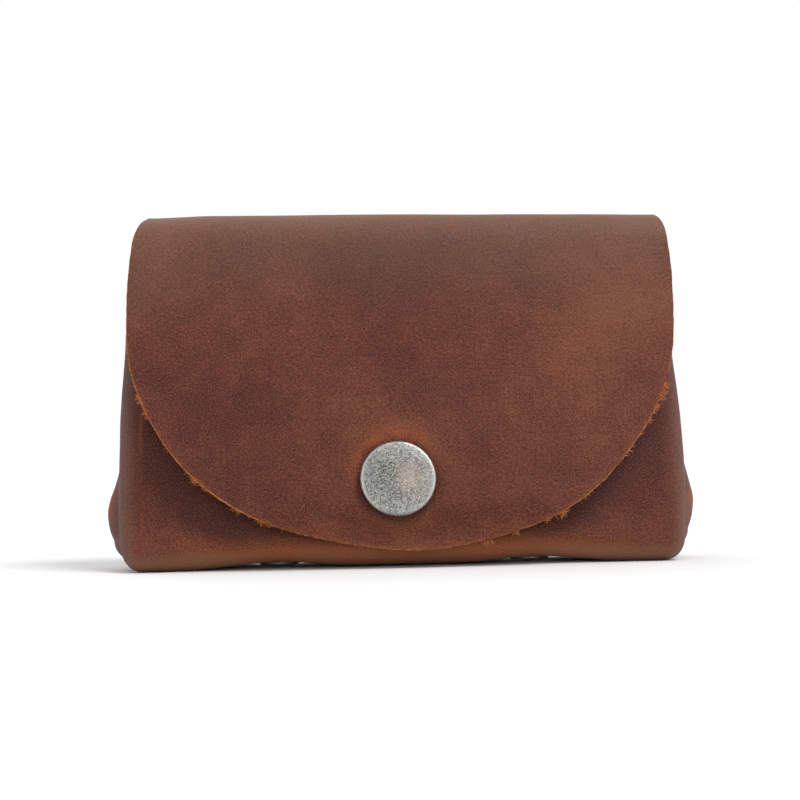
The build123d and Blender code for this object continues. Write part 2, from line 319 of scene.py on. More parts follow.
def antique_metal(name, base=(0.250, 0.250, 0.232), dark=(0.045, 0.048, 0.044), mottle=1.0, rough=0.36):
    m, nt, b = new_mat(name)
    flat = attr(nt, "flat")
    big = noise_node(nt, flat, 160.0, 4.0, 0.6, 0.5)
    mid = noise_node(nt, flat, 2300.0, 3.0, 0.72, 0.3)
    fine = noise_node(nt, flat, 4600.0, 2.0, 0.7, 0.0)
    vm = node(nt, "ShaderNodeMapping")
    vm.inputs["Rotation"].default_value = (0, 0, 0.9)
    vm.inputs["Scale"].default_value = (220.0, 2600.0, 1.0)
    nt.links.new(flat, vm.inputs["Vector"])
    scr = noise_node(nt, vm.outputs[0], 1.0, 1.0, 0.4, 0.8)
    a = math_node(nt, "MULTIPLY_ADD", ramp(nt, mid, 0.36, 0.64, -1, 1), 0.42 * mottle, ramp(nt, big, 0.3, 0.7, 0.42, 0.66))
    a = math_node(nt, "MULTIPLY_ADD", ramp(nt, fine, 0.34, 0.66, -1, 1), 0.30 * mottle, a)
    col = mix_col(nt, a, dark, base)
    # a faint brown bloom to the right of the middle
    brown = attr(nt, "warm", "Fac")
    col = mix_col(nt, math_node(nt, "MULTIPLY", brown, 0.55), col, (0.40, 0.32, 0.26))
    sm = math_node(nt, "MULTIPLY", ramp(nt, scr, 0.66, 0.72), ramp(nt, big, 0.45, 0.6))
    col = mix_col(nt, math_node(nt, "MULTIPLY", sm, 0.5), col, (0.75, 0.74, 0.71))
    # painted highlight: bright lines on the cap's rim, lightest at its left and right, carried in the tone attribute
    rim = attr(nt, "tone", "Fac")
    col = mix_col(nt, rim, col, (0.72, 0.71, 0.68))
    nt.links.new(col, b.inputs["Base Color"])
    b.inputs["Metallic"].default_value = 0.92
    r = math_node(nt, "MULTIPLY_ADD", ramp(nt, mid, 0.3, 0.7, 1, -1), 0.10, rough + 0.08)
    r = math_node(nt, "MULTIPLY_ADD", rim, -0.16, r)
    nt.links.new(r, b.inputs["Roughness"])
    nrm = bump_chain(nt, [(mid, 0.00010, 0.55), (fine, 0.00006, 0.6), (scr, 0.00003, 0.3)])
    nt.links.new(nrm, b.inputs["Normal"])
    return m


M_GRAIN, M_FLESH, M_EDGE, M_FIBRE = leather_grain(), leather_flesh(), leather_edge(), fibre_mat()
M_CAP = antique_metal("antique_nickel")
M_NICKEL = antique_metal("nickel_plate", (0.42, 0.415, 0.40), (0.16, 0.158, 0.150), 0.6, 0.30)
M_SPRING = antique_metal("spring_wire", (0.58, 0.57, 0.55), (0.30, 0.29, 0.28), 0.4, 0.25)


# ---------------------------------------------------------------------------
# leather sheets
# ---------------------------------------------------------------------------
def vertex_normals(P, quads):
    a, b, c, d = (P[quads[:, k]] for k in range(4))
    n = np.cross(c - a, d - b)
    N = np.zeros_like(P)
    for k in range(4):
        np.add.at(N, quads[:, k], n)
    ln = np.linalg.norm(N, axis=1, keepdims=True)
    return N / np.maximum(ln, 1e-12)


def make_leather(name, P, flat, quads, N, tone, warm, thick, seam=None, edge_noise=0.10, inner=None, painted_sheen=None):
    """A closed piece of leather.  P is the outer, grain side in mm, N its outward normals.  The flesh side lies
    thick below it.  Open borders get a rounded, slightly ragged cut edge, except the edges in seam, where the
    sheet goes on in the next piece."""
    used = np.unique(quads)
    remap = -np.ones(len(P), int)
    remap[used] = np.arange(len(used))
    q = remap[quads]
    Po, No, Fo, To, Wo = P[used], N[used], flat[used], tone[used], warm[used]
    Th = np.broadcast_to(np.asarray(thick, float), (len(P),))[used]
    Ho = np.zeros(len(used)) if painted_sheen is None else painted_sheen[used]
    n = len(used)
    Pi = Po - No * Th[:, None] if inner is None else inner[used]
    e = np.concatenate([q[:, [k, (k + 1) % 4]] for k in range(4)])
    e = e[e[:, 0] != e[:, 1]]
    key = np.sort(e, axis=1)
    code = key[:, 0].astype(np.int64) * n + key[:, 1]
    u, inv, cnt = np.unique(code, return_inverse=True, return_counts=True)
    border = e[cnt[inv] == 1]
    seam_set = set()
    if seam is not None:
        seam_v = set(remap[list(seam)].tolist())
        for a, b_ in border:
            if a in seam_v and b_ in seam_v:
                seam_set.add((a, b_))
    nxt = {}
    for a, b_ in border:
        nxt.setdefault(a, b_)
    # outward direction in the sheet's plane at each border vertex of a cut edge
    m = np.zeros_like(Po)
    for a, b_ in border:
        if (a, b_) in seam_set:
            continue
        tvec = Po[b_] - Po[a]
        o = np.cross(tvec, No[a] + No[b_])
        ln = np.linalg.norm(o)
        if ln > 1e-9:
            m[a] += o / ln
            m[b_] += o / ln
    ln = np.linalg.norm(m, axis=1, keepdims=True)
    m = np.where(ln > 1e-9, m / np.maximum(ln, 1e-9), 0)
    V = [Po, Pi]
    NV = [No, -No]
    F = [q, q[:, ::-1] + n]
    mats = [np.zeros(len(q), int), np.ones(len(q), int)]
    flats, tones, warms = [Fo, Fo], [To, To], [Wo, Wo]
    painted_sheens = [Ho, Ho]
    cut = [(a, b_) for a, b_ in border if (a, b_) not in seam_set]
    cv = sorted({int(v) for ab in cut for v in ab})
    idx = {v: k for k, v in enumerate(cv)}
    cva = np.array(cv, int)
    depth = [0.03, 0.12, 0.35, 0.65, 0.90, 0.97]
    push = [0.075, 0.15, 0.18, 0.17, 0.12, 0.06]
    base = 2 * n
    rings = []
    if len(cva):
        for k, (dd, pp) in enumerate(zip(depth, push)):
            jit = edge_noise * (noise2(Fo[cva, 0] * 1.0 + 3.1 * k, Fo[cva, 1] * 1.0, 0.55, 70 + k) * 0.7 +
                                noise2(Fo[cva, 0], Fo[cva, 1] + 9 * k, 2.2, 90 + k) * 0.6)
            damp = min(1.0, 4 * dd * (1 - dd) + 0.25)
            mid = Po[cva] * (1 - dd) + Pi[cva] * dd + m[cva] * (pp + jit * damp)[:, None]
            rings.append(base + k * len(cva))
            V.append(mid)
            w = 1 - 2 * dd
            nn_ = m[cva] + No[cva] * w * 1.1
            NV.append(nn_ / np.maximum(np.linalg.norm(nn_, axis=1, keepdims=True), 1e-9))
            flats.append(Fo[cva] + np.stack([m[cva, 0] * 0 + dd * 1.7, dd * 1.3 + 0 * m[cva, 0]], -1))
            tones.append(To[cva])
            painted_sheens.append(Ho[cva])
            warms.append(Wo[cva])
        ef, em = [], []
        for a, b_ in cut:
            ia, ib = idx[int(a)], idx[int(b_)]
            chain_a = [a] + [r + ia for r in rings] + [a + n]
            chain_b = [b_] + [r + ib for r in rings] + [b_ + n]
            for k in range(len(chain_a) - 1):
                ef.append((chain_b[k], chain_a[k], chain_a[k + 1], chain_b[k + 1]))
                em.append(0 if k == 0 else 2)
        F.append(np.array(ef, int))
        mats.append(np.array(em, int))
    if seam_set:
        sf = [(b_, a, a + n, b_ + n) for a, b_ in seam_set]
        F.append(np.array(sf, int))
        mats.append(np.full(len(sf), 2))
    V, NV = np.concatenate(V), np.concatenate(NV)
    flats, tones, warms = np.concatenate(flats), np.concatenate(tones), np.concatenate(warms)
    faces = np.concatenate(F)
    mi = np.concatenate(mats)
    me = bpy.data.meshes.new(name)
    fl = []
    keep = []
    for k, f in enumerate(faces):
        g = []
        for v in f:
            if v not in g:
                g.append(int(v))
        if len(g) >= 3:
            fl.append(g)
            keep.append(k)
    me.from_pydata((V * MM).tolist(), [], fl)
    me.materials.append(M_GRAIN)
    me.materials.append(M_FLESH)
    me.materials.append(M_EDGE)
    me.polygons.foreach_set("material_index", mi[keep].astype(np.int32))
    me.polygons.foreach_set("use_smooth", np.ones(len(fl), bool))
    a = me.attributes.new("flat", "FLOAT_VECTOR", "POINT")
    a.data.foreach_set("vector", (np.concatenate([flats, np.zeros((len(flats), 1))], 1) * MM).astype(np.float32).ravel())
    a = me.attributes.new("tone", "FLOAT", "POINT")
    a.data.foreach_set("value", tones.astype(np.float32))
    a = me.attributes.new("warm", "FLOAT", "POINT")
    a.data.foreach_set("value", warms.astype(np.float32))
    a = me.attributes.new("painted_sheen", "FLOAT", "POINT")
    a.data.foreach_set("value", np.concatenate(painted_sheens).astype(np.float32))
    me.normals_split_custom_set_from_vertices(NV.tolist())
    me.update()
    ob = bpy.data.objects.new(name, me)
    bpy.context.collection.objects.link(ob)
    return ob


# ------------------------------------------------------------- the strip ----
RB = 4.5                                  # rear lower bend
S_BOT = 7.5                               # y where the strip leaves the tray piece
YB_C, = (Y_BACK - RB,)


def z_under(x):
    """Underside of the bottom: down at both ends, drawn up at the rivets."""
    x = np.asarray(x, float)
    rv = 1.38 * np.exp(-((np.abs(x) - 26.0) / 8.5) ** 2)
    mid = 0.45 * (1 - smooth(34, 47, np.abs(x)))
    return rv + mid * (1 - np.exp(-((np.abs(x) - 26.0) / 8.5) ** 2))


# arc lengths along the outer face of the strip
s_a = YB_C - S_BOT
s_b = s_a + RB * math.pi / 2
s_c = s_b + (Z0 - RB - 0.9)
ARC = math.pi - LEAN
s_d = s_c + R_TOP * ARC
Z_TAN = Z0 + R_TOP * SL


def profile(s, x):
    """(y, z, ny, nz) on the outer face of the strip at arc length s, mm."""
    s = np.asarray(s, float)
    x = np.asarray(x, float)
    zb = z_under(x)
    y = np.empty_like(s)
    z = np.empty_like(s)
    k = s <= s_a
    y[k], z[k] = S_BOT + s[k], zb[k]
    k = (s > s_a) & (s <= s_b)
    a = -math.pi / 2 + (s[k] - s_a) / RB
    y[k], z[k] = YB_C + RB * np.cos(a), zb[k] + RB + RB * np.sin(a)
    k = (s > s_b) & (s <= s_c)
    f = (s[k] - s_b) / (s_c - s_b)
    zz0 = zb[k] + RB
    y[k], z[k] = Y_BACK, zz0 + (Z0 - zz0) * f
    k = (s > s_c) & (s <= s_d)
    a = (s[k] - s_c) / R_TOP
    y[k], z[k] = Y0 + R_TOP * np.cos(a), Z0 + R_TOP * np.sin(a)
    k = s > s_d
    d = s[k] - s_d
    y[k] = Y0 - R_TOP * CL - d * SL
    z[k] = Z_TAN - d * CL
    return y, z


def half_widths(s):
    """Left and right half width of the strip by arc length."""
    al = np.degrees((s - s_c) / R_TOP)
    zl = Z_TAN - (s - s_d) * CL
    sL = np.interp(s, [0, s_a, s_b, s_b + 8, s_c - 14, s_c],
                   [54.9, 54.6, 54.4, 55.2, 56.0, 55.2])
    sR = np.interp(s, [0, s_a, s_b, s_b + 8, s_c - 14, s_c],
                   [55.0, 54.8, 54.8, 55.8, 56.3, 55.9])
    aL = np.interp(al, [0, 40, 65, 90, 116, 130, 150, 169], [55.2, 54.2, 53.4, 52.6, 52.8, 53.7, 54.6, 55.2])
    aR = np.interp(al, [0, 40, 65, 90, 116, 130, 150, 169], [55.9, 55.7, 55.5, 55.2, 55.3, 55.7, 56.1, 56.3])
    fL = np.interp(-zl, [-66, -63.6, -60, -56, -40], [55.3, 55.6, 55.85, 56.0, 56.0])
    fR = np.interp(-zl, [-66, -63.6, -60, -56, -40], [56.35, 56.5, 56.6, 56.45, 56.45])
    L = np.where(s <= s_c, sL, np.where(s <= s_d, aL, fL))
    R = np.where(s <= s_c, sR, np.where(s <= s_d, aR, fR))
    return L, R


# the flap's cut edge, (x, z) on its outer face
EDGE = [(-56.0, 54.9), (-56.0, 51.5), (-55.9, 48.5), (-55.75, 45.2), (-55.3, 42.0), (-54.65, 39.0), (-53.4, 35.4),
        (-52.2, 32.9), (-50.7, 29.8), (-48.3, 25.6), (-44.9, 21.2), (-41.8, 18.2), (-38.5, 15.4), (-34.4, 12.7),
        (-30.1, 10.4), (-25.4, 8.3), (-21.2, 6.95), (-15.8, 5.6), (-8.6, 4.3), (-2.9, 3.6), (1.4, 3.35),
        (5.7, 3.55), (11.3, 4.35), (15.9, 5.2), (21.9, 7.0), (26.0, 8.5), (29.9, 10.2), (34.1, 12.8), (38.6, 16.2),
        (42.6, 20.2), (45.7, 24.0), (48.5, 27.6), (50.9, 31.6), (53.0, 35.9), (54.5, 40.0), (55.4, 43.4),
        (55.9, 47.1), (56.2, 50.5), (56.45, 54.9)]


def smooth_curve(pts, n):
    """Even points along a smoothed polyline."""
    p = np.array(pts, float)
    d = np.r_[0, np.cumsum(np.linalg.norm(np.diff(p, axis=0), axis=1))]
    uu = np.linspace(0, d[-1], 1200)
    q = np.stack([np.interp(uu, d, p[:, 0]), np.interp(uu, d, p[:, 1])], -1)
    ker = np.exp(-0.5 * (np.arange(-40, 41) / 16.0) ** 2)
    ker /= ker.sum()
    pad = np.concatenate([2 * q[:1] - q[40:0:-1], q, 2 * q[-1:] - q[-2:-42:-1]])
    q = np.stack([np.convolve(pad[:, k], ker, "valid") for k in (0, 1)], -1)
    d = np.r_[0, np.cumsum(np.linalg.norm(np.diff(q, axis=0), axis=1))]
    uu = np.linspace(0, d[-1], n)
    return np.stack([np.interp(uu, d, q[:, 0]), np.interp(uu, d, q[:, 1])], -1)


NX = 225
s_T = s_d + (Z_TAN - 54.9) / CL


def blobs(x, z, items):
    v = np.zeros_like(x)
    for bx, bz, rx, rz, amp, *rot in items:
        a = math.radians(rot[0]) if rot else 0.0
        dx, dz = x - bx, z - bz
        u = (dx * math.cos(a) + dz * math.sin(a)) / rx
        w = (-dx * math.sin(a) + dz * math.cos(a)) / rz
        v = v + amp * np.exp(-(u * u + w * w))
    return v


# soft patches on the flap's face: x, z, radius x, radius z, lighter (+) or darker (-)
FLAP_PATCHES = [
    (-50, 66, 9, 6, 0.16), (-20, 64, 20, 5, 0.00), (-43, 54, 10, 7, -0.12), (-20, 47, 12, 6, 0.05),
    (4, 56, 22, 11, -0.14), (-12, 57, 9, 5, -0.10), (-38, 33, 15, 14, -0.33), (-31, 18, 10, 8, -0.20),
    (-3, 41, 8, 7, -0.24), (15, 38, 9, 5, -0.18), (39, 50, 13, 8, 0.24), (32, 45, 10, 6, 0.12),
    (46, 62, 10, 9, 0.16), (52, 54, 5, 9, 0.12), (36, 35, 13, 9, 0.12, -35), (-12, 31, 12, 5, 0.06),
    (-22, 40, 10, 6, 0.05), (8, 11, 26, 6, -0.16), (13, 22, 6, 8, -0.14), (28, 27, 12, 8, 0.04),
    (-6, 66, 36, 7, -0.22), (-14, 44, 5, 8, -0.12), (-50, 44, 5, 10, -0.10), (4, 33, 6, 5, -0.16),
    (-31, 12, 10, 5, -0.12), (47, 36, 6, 6, -0.14), (-2, 46, 8, 4, -0.05), (24, 60, 10, 5, -0.05),
]
FLAP_BASE = 0.495


def strip_fields(x, s, flap=True):
    al = (s - s_c) / R_TOP
    zl = np.where(s > s_d, Z_TAN - (s - s_d) * CL, Z_TAN)
    tone = np.full_like(x, FLAP_BASE)
    on_flap = smooth(s_d - 9, s_d + 3, s)
    tone = tone + on_flap * blobs(x, zl, FLAP_PATCHES)
    tone = tone + (1 - on_flap) * 0.10 * fbm(x, s, 26.0, 5)
    tone = tone + 0.05 * fbm(x, s, 9.0, 8) + 0.035 * fbm(x, s, 3.2, 12)
    # folds are paler: partly the wax pulled pale, partly a painted highlight where they turn up to the light
    fold = np.exp(-((s - (s_c + s_d) / 2) / 11.0) ** 2)
    tone = tone + 0.30 * fold
    fold2 = np.exp(-((s - (s_a + s_b) / 2) / 6.0) ** 2)
    tone = tone + 0.20 * fold2
    warm = 0.10 * fold * smooth(-0.2, 0.6, fbm(x, s, 2.6, 31)) + 0.12 * fold2
    return tone, warm


def ring_warm(x, z, cx, cz):
    r = np.hypot(x - cx, z - cz)
    th = np.arctan2(z - cz, x - cx)
    k = np.exp(-((r - 8.9) / 1.0) ** 2) * (0.75 + 0.5 * noise2(x, z, 1.3, 55))
    k2 = np.exp(-((r - 10.2) / 1.8) ** 2) * 0.30
    # strongest above, to the left, and below
    aw = 0.42 + 0.33 * np.cos(th - math.radians(112)) + 0.30 * np.cos(2 * (th - math.radians(98)))
    return np.clip(k * aw + k2 * aw, 0, 1), r


# rows of the strip in flat coordinates: the same columns all the way
rows_s = np.concatenate([np.linspace(0, s_a, 5)[:-1], np.linspace(s_a, s_b, 13)[:-1],
                         np.linspace(s_b, s_c, 66)[:-1], np.linspace(s_c, s_d, 49)[:-1],
                         np.linspace(s_d, s_T, 15)])
uj = np.linspace(-1, 1, NX)
# columns a little closer together at both sides
uj = np.sign(uj) * (1 - (1 - np.abs(uj)) ** 1.06)
S1 = np.repeat(rows_s[:, None], NX, 1)
WL, WR = half_widths(S1)
ext = np.where(uj < 0, 1.0, 0.0)[None, :]
X1 = uj[None, :] * (WL * ext + WR * (1 - ext))
EDGE = [(x_, z_ + 0.75 * math.exp(-(x_ / 26.0) ** 4)) for x_, z_ in EDGE]
edge = smooth_curve([(x, s_T + (54.9 - z) / CL) for x, z in EDGE], 2001)
ed = np.r_[0, np.cumsum(np.linalg.norm(np.diff(edge, axis=0), axis=1))]
ue = (uj + 1) / 2
ex = np.interp(ue * ed[-1], ed, edge[:, 0])
es = np.interp(ue * ed[-1], ed, edge[:, 1])
ex[0], ex[-1], es[0], es[-1] = X1[-1, 0], X1[-1, -1], s_T, s_T
NV2 = 92
vv = np.linspace(0, 1, NV2 + 1)[1:]
vv = 1 - (1 - vv) ** 1.12
X2 = X1[-1][None, :] * (1 - vv[:, None]) + ex[None, :] * vv[:, None]
S2 = s_T * (1 - vv[:, None]) + es[None, :] * vv[:, None]
# the strip's rows and the flap's rounded end in one grid
XF = np.concatenate([X1, X2])
SF = np.concatenate([S1, S2])
NR = XF.shape[0]


def strip_points(XF, SF):
    x, s = XF.ravel(), SF.ravel()
    y, z = profile(s, x)
    P = np.stack([x, y, z], -1)
    ny = np.zeros_like(x)
    nz = np.zeros_like(x)
    k = s <= s_a
    ny[k], nz[k] = 0, -1
    k = (s > s_a) & (s <= s_b)
    a = -math.pi / 2 + (s[k] - s_a) / RB
    ny[k], nz[k] = np.cos(a), np.sin(a)
    k = (s > s_b) & (s <= s_c)
    ny[k], nz[k] = 1, 0
    k = (s > s_c) & (s <= s_d)
    a = (s[k] - s_c) / R_TOP
    ny[k], nz[k] = np.cos(a), np.sin(a)
    k = s > s_d
    ny[k], nz[k] = -CL, SL
    n0 = np.stack([0 * ny, ny, nz], -1)
    zl = Z_TAN - (s - s_d) * CL
    on = smooth(s_d - 2, s_d + 14, s)
    # gentle unevenness of thick leather
    d = 0.16 * fbm(x, s, 34.0, 41) + 0.045 * fbm(x, s, 7.5, 44)
    d = d * smooth(0, 3, s)
    # the flap springs away from the pouch towards its lower sides
    d = d + on * 1.25 * smooth(22, 56, np.abs(x)) * smooth(58, 24, zl) * (1 - 0.35 * (x > 0))
    # it is drawn in a little between the sides, above the snap
    d = d - on * 0.55 * np.exp(-(x / 30.0) ** 2 - ((zl - 44) / 14.0) ** 2)
    # the tip below the snap lies nearly against the pouch
    d = d - on * 2.1 * np.exp(-(x / 31.0) ** 4) * smooth(13.5, 4.0, zl)
    # leather pressed down round the cap, with a raised lip
    r = np.hypot(x - SNAP_X, (zl - SNAP_Z) / CL)
    d = d - on * 0.50 * np.exp(-(r / 8.3) ** 6) + on * 0.16 * np.exp(-((r - 9.6) / 1.7) ** 2)
    # back panel bows out a touch in the middle
    kb = (s > s_b) & (s <= s_c)
    d = d + np.where(kb, -0.35 * np.sin(np.clip((s - s_b) / (s_c - s_b), 0, 1) * math.pi) ** 2, 0)
    # the fold over the top sags a little at its ends
    ft = np.exp(-((s - (s_c + s_d) / 2) / 9.0) ** 2)
    d = d - ft * 0.55 * smooth(38, 55, np.abs(x)) * np.where(x > 0, 0.35, 1.0) - ft * 0.18 * smooth(0, 30, np.abs(x))
    return P + n0 * d[:, None]


PF = strip_points(XF, SF)
idg = np.arange(NR * NX).reshape(NR, NX)
qa = np.stack([idg[:-1, :-1], idg[:-1, 1:], idg[1:, 1:], idg[1:, :-1]], -1).reshape(-1, 4)
NF = vertex_normals(PF, qa)
# make the normals point out of the purse
if NF[idg[10, NX // 2]] @ np.array([0, 0.3, -1.0]) < 0 and NF[idg[40, NX // 2], 1] < 0:
    qa = qa[:, ::-1]
    NF = vertex_normals(PF, qa)
xs, ss = XF.ravel(), SF.ravel()
tone, warm = strip_fields(xs, ss)
zl = Z_TAN - (ss - s_d) * CL
rw, rr_ = ring_warm(xs, zl, SNAP_X, SNAP_Z)
onf = smooth(s_d - 2, s_d + 10, ss)
warm = warm + onf * rw * 0.62
# painted shade: a dark ring in the crevice round the cap's rim
tone = tone - onf * 0.22 * np.exp(-((rr_ - 7.7) / 0.8) ** 2)
# wear along the cut edges
arow = np.minimum(np.minimum(np.abs(xs + half_widths(ss)[0]), np.abs(half_widths(ss)[1] - xs)), 99)
vdist = np.full(NR * NX, 99.0)
vd = (1 - vv)[:, None] * np.hypot(ex - X1[-1], es - s_T)[None, :]
# distance to the round edge
dd2 = np.full((NV2, NX), 99.0)
for i in range(NV2):
    px, ps = X2[i], S2[i]
    dm = np.min(np.hypot(px[:, None] - edge[None, ::8, 0], ps[:, None] - edge[None, ::8, 1]), axis=1)
    dd2[i] = dm
vdist[idg[len(rows_s):].ravel()] = dd2.ravel()
vdist = np.where(ss <= s_T, arow, vdist)
near = np.exp(-(vdist / 0.30) ** 1.5) * smooth(s_T - 4, s_T + 14, ss)
warm = warm + near * (0.25 + 0.45 * smooth(-0.2, 0.7, fbm(xs, ss, 3.0, 61)))
tone = tone + 0.06 * np.exp(-(vdist / 2.2) ** 1.5) * (0.5 + fbm(xs, ss, 6.0, 62))
warm = np.clip(warm, 0, 0.95)
# painted sheen, strongest on the top fold and fading down the flap and the back
sheen_by_height = np.interp(-np.where(ss > s_d, zl, Z0 + R_TOP * np.sin(np.clip((ss - s_c) / R_TOP, 0, math.pi))),
                 [-74.5, -73.0, -69.5, -66.0, -61.0, -55.0, -48.0], [0.62, 0.56, 0.36, 0.30, 0.20, 0.09, 0.0])
sheen_by_height = np.where(ss < s_c, 0.30 * np.exp(-((s_c - ss) / 9.0) ** 2) + 0.05, sheen_by_height)
painted_sheen_f = np.clip(sheen_by_height * (1.0 + 0.35 * fbm(xs, ss, 11.0, 91)) + 0.10 * blobs(xs, zl, [(-50, 62, 8, 12, 1.0)]) * onf, 0, 0.8)
# painted light: the flap's tip, curled in and shaded, is made lighter
tip = onf * smooth(11.0, 4.5, zl) * np.exp(-((xs - 1) / 34.0) ** 4)
tone = tone + 0.22 * tip
flatF = np.stack([xs, ss], -1)
thickF = np.full(len(PF), T)


def rows_quads(i0, i1):
    g = idg[i0:i1 + 1]
    q = np.stack([g[:-1, :-1], g[:-1, 1:], g[1:, 1:], g[1:, :-1]], -1).reshape(-1, 4)
    return q if NORMAL_ORDER else q[:, ::-1]


# which winding gives outward normals
NORMAL_ORDER = vertex_normals(PF, np.stack([idg[:-1, :-1], idg[:-1, 1:], idg[1:, 1:], idg[1:, :-1]], -1).reshape(-1, 4))[
    idg[45, NX // 2], 1] > 0
i_B = 4 + 12 + 22                         # row in the back panel where the lower piece ends
i_C = 4 + 12 + 65 + int(round(48 * (90.0 / math.degrees(ARC))))   # row at the crest of the top fold
NF = vertex_normals(PF, rows_quads(0, NR - 1))

back_low = make_leather("leather_back_lower", PF, flatF, rows_quads(0, i_B), NF, tone, warm, thickF,
                        seam=set(idg[0]) | set(idg[i_B]), painted_sheen=painted_sheen_f)
back_up = make_leather("leather_back_upper", PF, flatF, rows_quads(i_B, i_C), NF, tone, warm, thickF,
                       seam=set(idg[i_B]) | set(idg[i_C]), painted_sheen=painted_sheen_f)
flap_piece = make_leather("leather_flap", PF, flatF, rows_quads(i_C, NR - 1), NF, tone, warm, thickF,
                          seam=set(idg[i_C]), edge_noise=0.13, painted_sheen=painted_sheen_f)

# -------------------------------------------------------------- the tray ----
FT = 50.0
A_FLAT = 52.3
RF = 6.2
X_MID_L = ([1.0, 3.0, 5.0, 8.0, 11.5, 14.5, 17.5, 21.0, 30.0, 40.0, 50.0],
           [56.4, 57.8, 59.3, 60.9, 61.45, 60.9, 59.6, 58.4, 57.3, 56.9, 56.4])
X_MID_R = ([1.0, 3.0, 5.0, 8.0, 12.5, 15.0, 19.0, 23.0, 30.0, 40.0, 50.0],
           [56.6, 58.1, 59.6, 61.1, 61.85, 61.3, 60.1, 59.0, 57.9, 57.1, 56.4])
REAR_X, REAR_Y = 54.9, 12.55


def sm_interp(x, xp, fp):
    """Monotone smoothstep-ish interpolation without corners."""
    x = np.asarray(x, float)
    acc = 0
    for o, w in ((-1.2, 0.2), (-0.6, 0.2), (0, 0.2), (0.6, 0.2), (1.2, 0.2)):
        acc = acc + w * np.interp(x + o, xp, fp)
    return acc


n_flat, n_arc, n_side = 66, 16, 26
# plan parameter of each column from the middle outwards: flat, corner arc, side
q_flat = np.linspace(0, 1, n_flat + 1)
cols = [("f", v) for v in q_flat] + [("a", v) for v in np.linspace(0, 1, n_arc + 1)[1:]] + \
       [("s", v) for v in np.linspace(0, 1, n_side + 1)[1:]]
NH = len(cols)
kind = np.array([{"f": 0, "a": 1, "s": 2}[c[0]] for c in cols])
par = np.array([c[1] for c in cols])
# rows: the wall, then the bend
n_wall, n_bend = 78, 14
wall = np.linspace(0, 1, n_wall + 1)
bend = np.linspace(0, math.pi / 2, n_bend + 1)[1:]


def tray_half(side):
    """Outer surface of half of the front panel and its wing; side is -1 left, +1 right."""
    nr = n_wall + 1 + n_bend
    P = np.zeros((nr, NH, 3))
    FL = np.zeros((nr, NH, 2))
    xm = X_MID_L if side < 0 else X_MID_R
    th = np.where(kind == 0, 0.0, np.where(kind == 1, par * math.pi / 2, math.pi / 2))
    # radius of the lower bend by column
    rb = np.where(kind == 0, 5.0 - 0.5 * smooth(0.82, 1.0, par), np.where(kind == 1, 4.5 - 0.2 * smooth(0, 1, par), 4.3 - 0.5 * par))
    lift = np.where(kind == 0, 0.0, np.where(kind == 1, T * smooth(0.62, 1.0, par), T))
    lift = np.where(kind == 2, T + 0.05, lift)
    for c in range(NH):
        k, v = kind[c], par[c]
        x_for_zb = A_FLAT * v if k == 0 else 53.0
        zb = float(z_under(x_for_zb)) + lift[c]
        r = rb[c]
        zt = zb + r
        top = FT - (1.3 * smooth(0.3, 1.0, v) if k == 1 else 0.0)
        if k == 2:
            top = FT - 1.3 - 0.3 * smooth(0, 1, v)      # wings stand a little lower at the back
        zz = np.concatenate([top + (zt - top) * wall, zt - r * np.sin(bend)])
        inset = np.concatenate([np.zeros(n_wall + 1), r * (1 - np.cos(bend))])
        zw = np.maximum(zz, zt)                           # the wall above the bend
        yf = y_front(zw)
        xo = A_FLAT + RF
        xo_z = xo - 0.85 * smooth(28, 50, zw) + (0.35 if side > 0 else 0.0) * smooth(10, 24, zw) - (0.85 if side > 0 else 0.6) * smooth(15, 4, zw)
        # the fold is softer towards its foot
        if k == 0:
            x = np.full_like(zz, A_FLAT * v)
            y = yf
            mx, my = 0.0, -1.0
            qf = A_FLAT * v
        elif k == 1:
            a = th[c]
            x = A_FLAT + (xo_z - A_FLAT) * math.sin(a)
            y = yf + RF * (1 - math.cos(a))
            mx, my = math.sin(a), -math.cos(a)
            qf = A_FLAT + RF * a
        else:
            ys = yf + RF
            y = ys + (REAR_Y - 0.25 * smooth(20, 50, zw) - ys) * v
            e = v * v * (3 - 2 * v)
            base = xo_z + (REAR_X - xo_z) * e
            e_m = 0.45 ** 2 * (3 - 0.9)
            base_m = xo_z + (REAR_X - xo_z) * e_m
            amp = sm_interp(zw, xm[0], xm[1]) - base_m
            vb = v ** 0.86
            x = base + amp * math.sin(math.pi * vb) ** 2.1
            mx, my = 1.0, 0.0
            qf = A_FLAT + RF * math.pi / 2 + v * 18.0
        P[:, c, 0] = side * (x - mx * inset)
        P[:, c, 1] = y - my * inset
        P[:, c, 2] = zz
        FL[:, c, 0] = side * qf
        sv = np.concatenate([(top - zt) * wall, (top - zt) + r * bend])
        FL[:, c, 1] = -200 - sv
    return P, FL


PL, FLL = tray_half(-1)
PR, FLR = tray_half(1)
# one sheet from the left wing's rear edge, round the front, to the right wing's rear edge
PT = np.concatenate([PL[:, ::-1], PR[:, 1:]], 1)
FT2 = np.concatenate([FLL[:, ::-1], FLR[:, 1:]], 1)
nr, nc = PT.shape[:2]
KC = np.concatenate([kind[::-1], kind[1:]])
PC = np.concatenate([par[::-1], par[1:]])
SIDE = np.concatenate([-np.ones(NH), np.ones(NH - 1)])
verts = [PT.reshape(-1, 3)]
flats = [FT2.reshape(-1, 2)]
gid = np.arange(nr * nc).reshape(nr, nc)
quads = [np.stack([gid[:-1, :-1], gid[1:, :-1], gid[1:, 1:], gid[:-1, 1:]], -1).reshape(-1, 4)]
count = nr * nc
